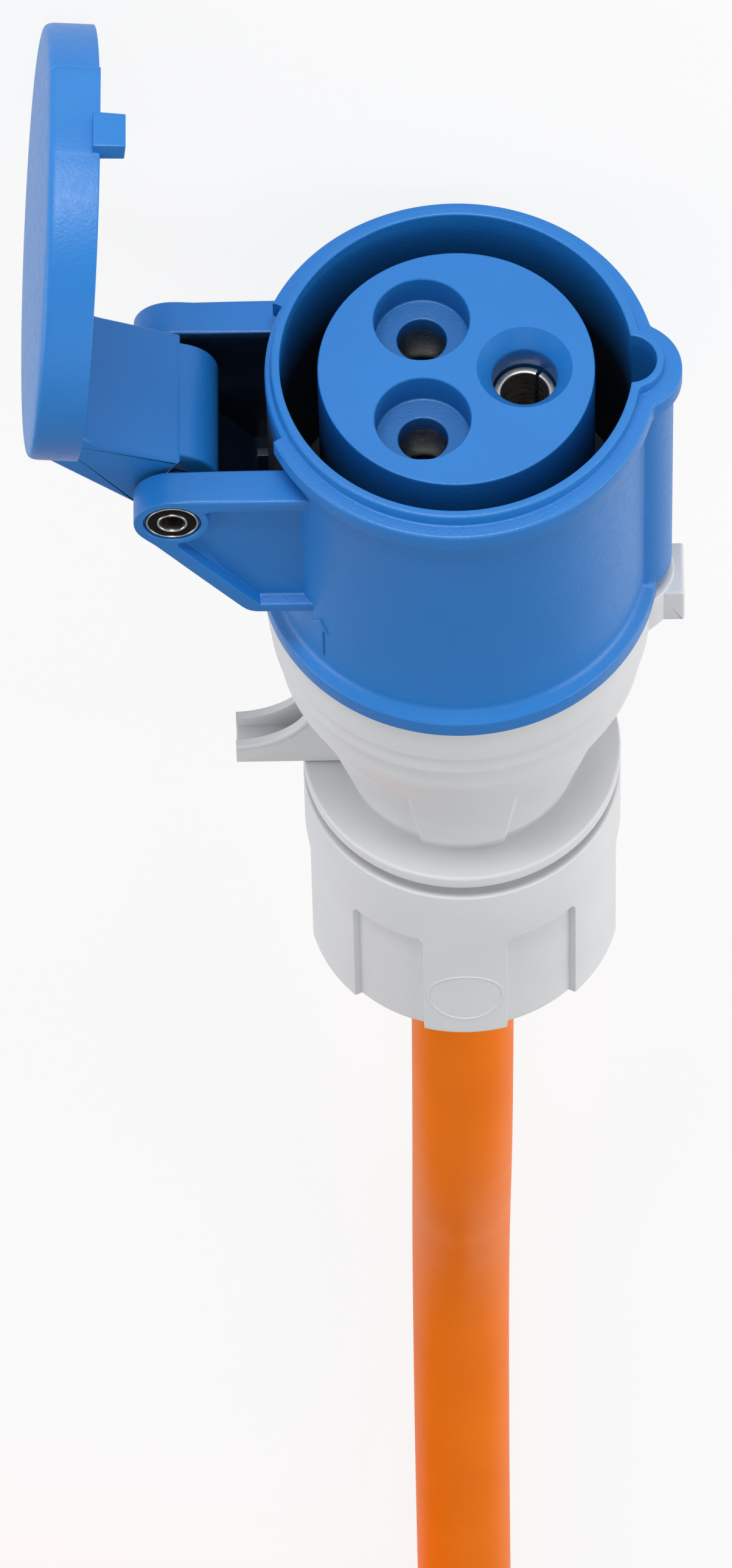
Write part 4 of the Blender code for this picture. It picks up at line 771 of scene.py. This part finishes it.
def lid_cap():
    """The cap's closed skin: crown, round back edge, skirt with the tab, rim, gasket seat and sunk middle.

    The tab is the nearer of a flat face and the sides y = 8 and y = -5.4 on each ray, eased as
    (p^-n + q^-n)^(-1/n); towards the front it runs out flush with the skirt.
    """
    a = fine_angles((-30, 30, 0.4))
    face = TAB_REACH / np.maximum(np.cos(a - TAB_TURN), 0.05)
    side = np.where(a > 0, TAB_FAR, TAB_NEAR) / np.maximum(np.abs(np.sin(a)), 1e-3)
    tab = (face**-26.0 + side**-26.0) ** (-1 / 26.0)
    wide = np.where(np.cos(a) > 0.5, larger(LID_R, tab, 0.12), LID_R)
    rows = [
        (0, CROWN), (0.36 * LID_R, 7.12), (0.7 * LID_R, 6.85), (wide - 1.4, 6.5), (wide, 6.15), (wide, 0),
        (wide - 1.6, 0), (26.1, 0), (25.9, 2.2),
    ]
    out = soften(per_angle(rows, a), [0, 6, 6, 0.9, 1.3, 0.2, 0.2, 0.5, 0.2], 7, False)
    outer = spun(out, a) + [LID_C[0], 0, LID_C[1]]
    rows = np.array([[POCKET_R, 2.2], [POCKET_R, POCKET_TOP], [0, POCKET_TOP]])
    inner = spun(soften(rows, [0, 1.0, 0], 6, False), a) + [POCKET_C, 0, LID_C[1]]
    return np.vstack([outer, inner])


def lid_knuckle():
    """Rings about the pin for the part that turns on it: bore, face, rounded edge and rim."""
    inner = [BEND_IN + [-0.5, 0.5], BEND_OUT + [0.5, -0.5]]
    outline = np.vstack([arc((0, 0), KNUCKLE_R, TURN_OUT, TURN_IN + 360, 70), inner])
    a = np.radians(np.arange(0, 360, 1.5))
    edge = ray_to(outline, np.zeros(2), a)
    rows = [(2.5, 8.7), (edge, 8.7), (edge, -8.7), (2.5, -8.7)]
    ring = soften(per_angle(rows, a), [0.2, 0.5, 0.5, 0.2], 5)
    return np.stack([ring[..., 0] * np.cos(a), ring[..., 1], ring[..., 0] * np.sin(a)], -1)


def lid_block():
    """Side view of the broad block between knuckle and cap."""
    start = TOUCH_OUT + (BEND_OUT - TOUCH_OUT) * 0.05
    end = TOUCH_IN + (BEND_IN - TOUCH_IN) * 0.08
    corners = np.array([start, end, BEND_IN, [12.4, 14.05], [17.6, 14.05], [15.8, 20.4], BEND_OUT])
    return soften(corners, [0.4, 0.4, 1.5, 0.4, 0.2, 0.5, 2.0], 8)


block = upright(pillow(lid_block(), 220, -10.0, 10.0, 0.55, centre=(9.5, 15.5)))
lug_plan = LUG + np.array([[-1.5, -2.6], [1.5, -2.6], [1.5, 2.6], [-1.5, 2.6]])
lug_flat = pillow(soften(lug_plan, 0.15, 5), 80, LUG_LOW, 1.0, 0.15)
taper = 1 - 0.05 * (1.0 - lug_flat[..., 2:]) / (1.0 - LUG_LOW)
lug = np.concatenate([LUG + (lug_flat[..., :2] - LUG) * taper, lug_flat[..., 2:] + LID_C[1]], -1)
knuckle = (swing_open(lid_knuckle()), True, True)
lid_grids = on_bench(COUPLER, swing_open(lid_cap()), knuckle, swing_open(block), swing_open(lug))
skin("lid_cover", lid_grids, blue_nylon, "lid", "blue_nylon", ("lid",))


# Lid gasket
# A flat ring of soft black rubber pressed into the lid, which seals on the coupler's lip.
def rubbery(name, colour, rough):
    """Black rubber with a dusty bloom: soft grey clouds and a fine matt tooth."""
    look, tree, shader, place = blank_look(name)
    tooth = noise(tree, place, 3000.0)
    bloom = tuple(c * 1.9 for c in colour[:3]) + (1.0,)
    clouded(tree, shader, noise(tree, place, 120.0, 3.0), colour, bloom)
    toothed(tree, shader, tooth, rough, rough + 0.12, relief(tree, tooth, 0.00004, 0.6))
    return look


def gasket():
    """Four rounded edges between the lid's circle and the seal's own circle, 4 mm nearer the hinge."""
    outer = arc((LID_C[0], 0), 25.6, 0, 358, 180)
    inner = arc((POCKET_C, 0), 20.35, 0, 358, 180)
    flat = np.stack([outer, outer, inner, inner])
    return soften(with_height(flat, LID_C[1] + np.array([0.32, 1.88, 1.88, 0.32])), 0.4, 5)


black_rubber = rubbery("black_rubber", (0.012, 0.012, 0.013, 1.0), 0.6)
seal = on_bench(COUPLER, (swing_open(gasket()), True, True))
skin("lid_seal", seal, black_rubber, "lid", "black_rubber", ("lid_gasket",))


# Rear housing of the coupler
# Grey polyamide behind a dark seam, turned onto the front housing. It steps down to a cone with sunk panels,
# carries a finger hook on the left and the latch's tab on the right, and ends in the gland's threaded collar.
COLLAR_R = 25.5
COLLAR_TOP = -49.9
SHOULDER_END = -71.3
PANEL_TOP = -72.0
PANEL_DEPTH = 0.6
PANEL_CORNER = 4.5
PANEL_SIDE = 19
PANEL_END = 86
CONE_FOOT = -93.4
CONE_FOOT_R = 16.3
NUT_R = 21.4
HOOK_TIP = -30.3
HOOK_CENTRE = np.array([-30.9, -78.0])
HOOK_R = 10.95
HOOK_LOW = -93.0
HOOK_FLOOR = -90.7
HOOK_START = math.degrees(math.asin((HOOK_TIP - HOOK_CENTRE[0]) / HOOK_R)) - 90
HOOK_END = -14
GREY = (0.70, 0.706, 0.716, 1.0)
GREY_DEEP = (0.66, 0.667, 0.676, 1.0)


def filled(section, row, count):
    """The same section with rows laid evenly between one row and the next."""
    t = np.linspace(0, 1, count + 2)[1:-1, None]
    between = section[row] + (section[row + 1] - section[row]) * t
    return np.vstack([section[: row + 1], between, section[row + 1 :]])


def rear_shell():
    """The closed section for each angle, out along the steps and cone and back along the bore.

    On the cone the radius drops by the panel's depth times an ease of the distance inside its edge, which is
    c - |(c - s, c - h)| at a rounded corner. The collar grows a nose behind the keyway's ridge.
    """
    ends = (-PANEL_SIDE, PANEL_SIDE, -PANEL_END, PANEL_END)
    edges = [(q + e - 3, q + e + 3, 0.5) for q in (-90, 90) for e in ends]
    a = fine_angles(*edges, (-18, 18, 0.6))
    rows = np.array([
        [22.45, -46.9], [22.45, -51.3], [23.85, -51.3], [23.85, COLLAR_TOP], [COLLAR_R, COLLAR_TOP],
        [COLLAR_R, -56.5], [25.15, -56.85], [25.15, -60.3], [24.3, -60.65], [24.3, -66.3],
        [22.3, SHOULDER_END], [CONE_FOOT_R, CONE_FOOT], [NUT_R, CONE_FOOT], [NUT_R, -95.7], [17.6, -95.7],
        [17.6, -115.0], [13.6, -115.0], [13.6, -103.7], [8.6, -103.7], [8.6, -99.4], [14.1, -96.4],
        [14.1, -91.4], [20.25, -66.3], [20.25, -46.9],
    ])
    radius = [0.2] * 4 + [0.3, 0.15, 0.1, 0.15, 0.1, 1.8, 1.5, 0.3, 0.45, 0.3] + [0.3] * 10
    section = soften(rows, radius, 5)
    for corner, count in ((10, 30), (8, 8), (6, 6)):
        section = filled(section, corner * 5 + 4, count)
    profile = np.repeat(section[:, None], len(a), 1)
    r, z = section[:, :1], section[:, 1:]
    foot = np.argmax(section[:, 1] <= CONE_FOOT)
    outside = (np.arange(len(section)) < foot)[:, None]
    from_front = np.arccos(np.abs(np.sin(a)))
    side = r * (from_front - math.radians(PANEL_SIDE))
    far = r * (math.radians(PANEL_END) - from_front)
    down = PANEL_TOP - z
    inside = PANEL_CORNER - np.hypot(np.maximum(PANEL_CORNER - side, 0), np.maximum(PANEL_CORNER - down, 0))
    profile[..., 0] -= PANEL_DEPTH * eased(np.minimum(inside, far) / 0.8) * outside
    bump = nose(a, KEY_X, 6.15) - np.minimum(COLLAR_R - r, 0.3) - 0.62 * np.maximum(-57.0 - z, 0)
    on_collar = outside & (np.arange(len(section)) >= 20)[:, None]
    profile[..., 0] = np.where(on_collar, np.maximum(profile[..., 0], bump), profile[..., 0])
    return spun(profile, a)


def hook_wall(side):
    """One of the hook's two walls: its side view, drawn 1.1 mm thick."""
    top = arc(HOOK_CENTRE, HOOK_R, HOOK_START, HOOK_END, 24)
    outline = np.vstack([[[HOOK_TIP, HOOK_LOW]], top, [[-18.4, top[-1, 1]]], [[-15.2, HOOK_LOW]]])
    low, high = sorted((1.6 * side, 2.68 * side))
    return upright(pillow(outline, 260, low, high, 0.12, centre=(-22.0, -89.5)))


def hook_lip(side):
    """The flat rail with a rounded lip along a wall's hollow edge."""
    rows = np.array([[0, 1.62], [0, 2.9], [0.85, 2.9], [0.85, 1.62]])
    section = soften(rows, [0.1, 0.4, 0.35, 0.1], 6)
    away = arc((0, 0), 1, HOOK_START, HOOK_END, 60)
    flat = HOOK_CENTRE + (HOOK_R - 0.03 + section[None, :, :1]) * away[:, None]
    across = np.broadcast_to(side * section[:, 1], flat.shape[:2])
    return pointed(np.stack([flat[..., 0], across, flat[..., 1]], -1))


def hook_floor():
    """The web between the hook's walls."""
    corners = np.array([[HOOK_TIP, HOOK_LOW], [HOOK_TIP, HOOK_FLOOR], [-16.2, HOOK_FLOOR], [-15.2, HOOK_LOW]])
    return upright(pillow(soften(corners, 0.25, 4), 120, -1.9, 1.9, 0.05))


def latch_tab():
    """The upright block that the plug's latch catches behind, thicker at its foot."""
    corners = np.array([[26.9, -50.2], [29.65, -50.2], [29.65, -56.8], [25.9, -56.8], [25.9, -53.5]])
    return upright(pillow(soften(corners, [0.4, 0.5, 0.3, 1.4, 0.8], 7), 200, -4.0, 4.0, 0.35))


grey_nylon = moulded("grey_nylon", GREY, GREY_DEEP, 0.45, 0.00005)
rear_grids = [(rear_shell(), True, True), hook_floor(), latch_tab()]
for side in (-1, 1):
    rear_grids += [hook_wall(side), hook_lip(side)]
rear_look = (grey_nylon, "housing", "grey_nylon")
skin("rear_shell", on_bench(COUPLER, *rear_grids), *rear_look, ("rear_housing",))


# Gland nut of the coupler
# A long grey cap nut with six sunk grips, which squeezes the rubber bush on the cable. A thin bare oval
# stands on the rib that faces the front.
NUT_TOP = -98.5
GRIP_TOP = -110.3
GRIP_DEPTH = 0.95
GRIP_HALF = 14.7
OVAL_AT = -124.5
OVAL_HALF = (5.1, 5.5)


def nut_shell():
    """The nut's closed section for each angle; the six grips drop the outer radius by 0.95 mm.

    A grip is a rounded box in arc length s and height h, and its wall is 0.35 mm wide.
    """
    edges = [q + e for q in range(-180, 181, 60) for e in (-14.35, 14.35)]
    a = fine_angles(*[(edge - 0.95, edge + 0.95, 0.12) for edge in edges])
    rows = np.array([
        [NUT_R, NUT_TOP], [NUT_R, -110.0], [NUT_R, -NUT_END], [7.7, -NUT_END], [7.7, -127.6], [13.9, -127.6],
        [13.9, -116.5], [17.9, -116.5], [17.9, NUT_TOP],
    ])
    section = filled(soften(rows, [0.35, 0.01, 0.55, 0.4, 0.2, 0.2, 0.2, 0.2, 0.3], 5), 9, 80)
    profile = np.repeat(section[:, None], len(a), 1)
    turn = (np.degrees(a) + 30) % 60 - 30
    side = NUT_R * np.radians(GRIP_HALF - np.abs(turn))
    down = GRIP_TOP - section[:, 1:]
    inside = 1.6 - np.hypot(np.maximum(1.6 - side, 0), np.maximum(1.6 - down, 0))
    outside = (np.arange(len(section)) < 95)[:, None]
    profile[..., 0] -= GRIP_DEPTH * np.clip(inside / 0.35, 0, 1) * outside
    return spun(profile, a)


def bare_oval():
    """A thin raised oval line on the front rib: a small section carried round an ellipse on the nut."""
    t = np.linspace(0, math.tau, 120, endpoint=False)
    section = soften(np.array([[-0.16, -0.08], [-0.16, 0.07], [0.16, 0.07], [0.16, -0.08]]), 0.06, 3)
    angle = -math.pi / 2 + (OVAL_HALF[0] + section[:, :1]) * np.cos(t) / NUT_R
    out = NUT_R + section[:, 1:]
    z = OVAL_AT + (OVAL_HALF[1] + section[:, :1]) * np.sin(t)
    return np.stack(np.broadcast_arrays(out * np.cos(angle), out * np.sin(angle), z), -1)


nut_grid = (nut_shell(), True, True)
skin("nut_shell", on_bench(COUPLER, nut_grid), grey_nylon, "gland_nut", "grey_nylon", ("gland_nut",))
skin("nut_oval", on_bench(COUPLER, (bare_oval(), True, True)), grey_nylon, "gland_nut", "grey_nylon")


# Plug on the cable's far end
# The same rear housing and nut, with a blue collar that slides into a coupler, its key, and three
# nickel-plated pins in a blue insert.
def plug_shell():
    """The blue body's closed section for each angle, with the nose of its flange."""
    a = fine_angles((-22, 22, 0.4))
    flange = larger(FLANGE_R, nose(a, KEY_X, 6.9))
    rows = [
        (19.0, 0), (22.2, 0), (22.2, -37.0), (flange, -37.0), (flange, -40.05), (BODY_R, -40.05),
        (BODY_R, REAR_FLANGE_TOP + 1.2), (REAR_FLANGE_R, REAR_FLANGE_TOP), (REAR_FLANGE_R, HOUSING_END),
        (MOUTH_R, HOUSING_END), (MOUTH_R, -40.0), (19.0, -40.0),
    ]
    radius = [0.5, 0.5, 0.4, 0.45, 0.35, 0.35, 0.8, 0.35, 0.35, 0.2, 0.2, 0.2]
    return spun(soften(per_angle(rows, a), radius, 5), a)


key_plan = soften(np.array([[20.5, -2.3], [25.0, -2.3], [25.0, 2.3], [20.5, 2.3]]), 0.4, 5)
key = pillow(key_plan, 100, -37.5, -1.0, 0.4)
plug_body = on_bench(PLUG, (plug_shell(), True, True), key)
plug_pieces = [skin("plug_shell", plug_body, blue_nylon, "housing", "blue_nylon", ("plug_sleeve",))]


def plug_pin(radius):
    """A solid pin: pole, rounded tip and shank to its end."""
    rows = np.array([[0, -7.0], [radius, -7.0], [radius, -50.5], [0, -50.5]])
    return spun(soften(rows, [0, radius * 0.55, 0.3, 0], 9, False), np.radians(np.arange(0, 360, 6.0)))


holes = [
    ([[radius + 0.5, -33.0], [radius + 0.3, -33.2], [radius + 0.3, INSERT_END]], [0, 0.1, 0])
    for radius in PIN_R.values()
]
block_grids = on_bench(PLUG, *insert_block(18.7, -33.0, holes))
plug_pieces.append(skin("plug_insert", block_grids, blue_nylon, "housing", "blue_nylon", ("pin_carrier",)))
for contact, radius in PIN_R.items():
    pin = on_bench(PLUG, plug_pin(radius) + CONTACT_AT[contact])
    pin_names = (contact + "_pin",)
    plug_pieces.append(skin(contact + "_plug_pin", pin, nickel, "housing", "nickel_brass", pin_names))
plug_pieces.append(skin("plug_rear_shell", on_bench(PLUG, *rear_grids), *rear_look, ("plug_rear_housing",)))
nut_look = (grey_nylon, "plug_gland_nut", "grey_nylon")
plug_pieces.append(skin("plug_nut_shell", on_bench(PLUG, nut_grid), *nut_look, ("plug_gland_nut",)))


# Ties round the coil
# Two wide rubber straps, stepped where the coil's outer turns stop short of its top layer.
TIE_WIDE = 16.0
TIE_THICK = 1.2
TIE_TURNS = (35, 145)


def tie(turn):
    """A strap's closed line round the coil's section, (reach from the coil's centre, height), made a band.

    The line is drawn in by the band's thickness for its inner face, and both are rounded at every corner.
    """
    near = MIDDLE_TURN_R - TURN_PITCH - CABLE_R - 1.2
    far = MIDDLE_TURN_R + TURN_PITCH + CABLE_R + 0.6
    step = MIDDLE_TURN_R + CABLE_R + 0.6
    high = 4 * LAYER_PITCH + 0.3
    low = 3 * LAYER_PITCH + 0.6
    t = TIE_THICK
    outer = np.array([
        [near - t, 0], [far + t, 0], [far + t, low + t], [step + t, low + t], [step + t, high + t],
        [near - t, high + t],
    ])
    inner = np.array([[near, t], [far, t], [far, low], [step, low], [step, high], [near, high]])
    lines = [soften(line, [2.6, 2.6, 3.0, 2.0, 3.0, 3.0], 7) for line in (outer, inner)]
    half = TIE_WIDE / 2
    section = [(0, -half + 0.3), (0, half - 0.3), (0.3, half), (0.7, half), (1, half - 0.3), (1, -half + 0.3)]
    section += [(0.7, -half), (0.3, -half)]
    band = [np.insert(lines[0] + (lines[1] - lines[0]) * share, 1, across, 1) for share, across in section]
    grid = np.stack(band)
    c, s = math.cos(math.radians(turn)), math.sin(math.radians(turn))
    x = grid[..., 0] * c - grid[..., 1] * s
    y = grid[..., 0] * s + grid[..., 1] * c
    return np.stack([x, y, grid[..., 2]], -1)


for letter, turn in zip("ab", TIE_TURNS):
    place = (np.array([COUPLER[0] + MIDDLE_TURN_R + TURN_PITCH, COUPLER[1] + COIL_Y, 0]) + tie(turn)) / 1000
    tie_look = (black_rubber, "housing", "black_rubber")
    skin("tie_" + letter, [(place, True, True)], *tie_look, ("coil_tie_" + letter,))


# Inner pieces
# Retainers, clamps, seals, thrust rings, terminal screws and cores keep their solids. They get the moulded,
# rubber and metal looks above, and each core its own colour of insulation.
inner_looks = {
    "retainer": grey_nylon,
    "collet": grey_nylon,
    "gland_seal": black_rubber,
    "housing_seal": black_rubber,
    "thrust_ring": steel,
    "screw": steel,
    "earth_core": moulded("green_core", (0.02, 0.22, 0.05, 1.0), (0.018, 0.19, 0.04, 1.0), 0.4, 0.00001),
    "line_core": moulded("brown_core", (0.10, 0.03, 0.012, 1.0), (0.08, 0.025, 0.01, 1.0), 0.4, 0.00001),
    "neutral_core": moulded("blue_core", (0.03, 0.16, 0.55, 1.0), (0.025, 0.14, 0.5, 1.0), 0.4, 0.00001),
}
for name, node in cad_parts.items():
    for ending, look in inner_looks.items():
        if name.endswith(ending):
            node.material_slots[0].material = look
            if name.startswith("plug_"):
                plug_pieces.append(node)


# Floor, backdrop and light
# A plain pale studio table under a large soft lamp overhead, with a pale panel on each side.
def to_camera(tree, surface, brightness):
    """A surface that the camera and mirrors see mostly at an even pale level, and that keeps its shadows."""
    ray = add(tree, "LightPath", {})
    glow = add(tree, "Emission", {"Color": (1, 1, 1, 1), "Strength": brightness})
    seen = result(tree, "MAXIMUM", ray["Is Camera Ray"], ray["Is Glossy Ray"])
    clear = result(tree, "MAXIMUM", seen, ray["Is Transmission Ray"])
    inputs = {"Fac": result(tree, "MULTIPLY", clear, 0.86), 1: surface, 2: glow["Emission"]}
    return add(tree, "MixShader", inputs)["Shader"]


def table():
    """A flat square of 8 m with a very faint paper grain."""
    half, z = 4.0, -0.0003
    mesh = bpy.data.meshes.new("table_top")
    corners = [(-half, -half, z), (half, -half, z), (half, half, z), (-half, half, z)]
    mesh.from_pydata(corners, [], [(0, 1, 2, 3)])
    look, tree, shader, place = blank_look("pale_table")
    shader.inputs["Roughness"].default_value = 0.9
    shader.inputs["Specular IOR Level"].default_value = 0.1
    clouded(tree, shader, noise(tree, place, 400.0), (0.88, 0.88, 0.88, 1), (0.9, 0.9, 0.9, 1))
    output = tree.nodes["Material Output"]
    tree.links.new(to_camera(tree, shader.outputs["BSDF"], 1.0), output.inputs["Surface"])
    mesh.materials.append(look)
    placed("table_top", mesh)


def lamp(name, place, target, size, power):
    """A square soft lamp at a place, facing a target."""
    light = bpy.data.lights.new(name, "AREA")
    light.shape = "RECTANGLE"
    light.size, light.size_y = size
    light.energy = power
    holder = placed(name, light)
    holder.location = place
    holder.rotation_euler = (Vector(target) - Vector(place)).to_track_quat("-Z", "Y").to_euler()


table()
lamp("overhead_lamp", (0.0, -0.1, 1.5), (0, 0, 0), (1.2, 1.2), 3.6)
lamp("front_lamp", (0.1, -1.8, 0.3), (0, 0, 0.03), (1.0, 0.5), 25.5)
lamp("left_panel", (1.1, 0.05, 0.35), (0, 0.0, 0.03), (0.6, 1.0), 6.0)
lamp("right_panel", (-1.1, 0.05, 0.4), (0, 0.0, 0.03), (0.6, 1.0), 7.5)
world = bpy.data.worlds.new("studio_room")
scene.world = world
world.use_nodes = True
sky = world.node_tree.nodes["Background"].inputs
sky["Color"].default_value = (0.95, 0.97, 1.0, 1.0)
sky["Strength"].default_value = 0.36


# Camera
# It looks down at the lying coupler from in front of its mouth, with the picture turned so that the mouth
# is up, as in the photograph.
EYE_DISTANCE = 1.702
EYE_LIFT = math.radians(33.4)
PICTURE_ROLL = -0.015
AIM = (-0.0124, -0.0542)
LENS_MM = 303.8


def camera():
    """Eye = mouth + distance * (0, -cos, sin); it looks at a point a little beside and below the mouth."""
    mouth = Vector(COUPLER / 1000)
    away = Vector((0, -math.cos(EYE_LIFT), math.sin(EYE_LIFT)))
    up = Vector((0, -math.sin(EYE_LIFT), -math.cos(EYE_LIFT)))
    right = Vector((-1, 0, 0))
    eye = mouth + EYE_DISTANCE * away
    target = mouth + right * AIM[0] + up * AIM[1]
    back = (eye - target).normalized()
    side = up.cross(back).normalized()
    top = back.cross(side)
    turned = Matrix((side, top, back)).transposed() @ Matrix.Rotation(PICTURE_ROLL, 3, "Z")
    lens = bpy.data.cameras.new("photo_camera")
    lens.lens = LENS_MM
    holder = placed("photo_camera", lens)
    holder.matrix_world = Matrix.Translation(eye) @ turned.to_4x4()
    scene.camera = holder


camera()
scene.view_settings.view_transform = "Standard"
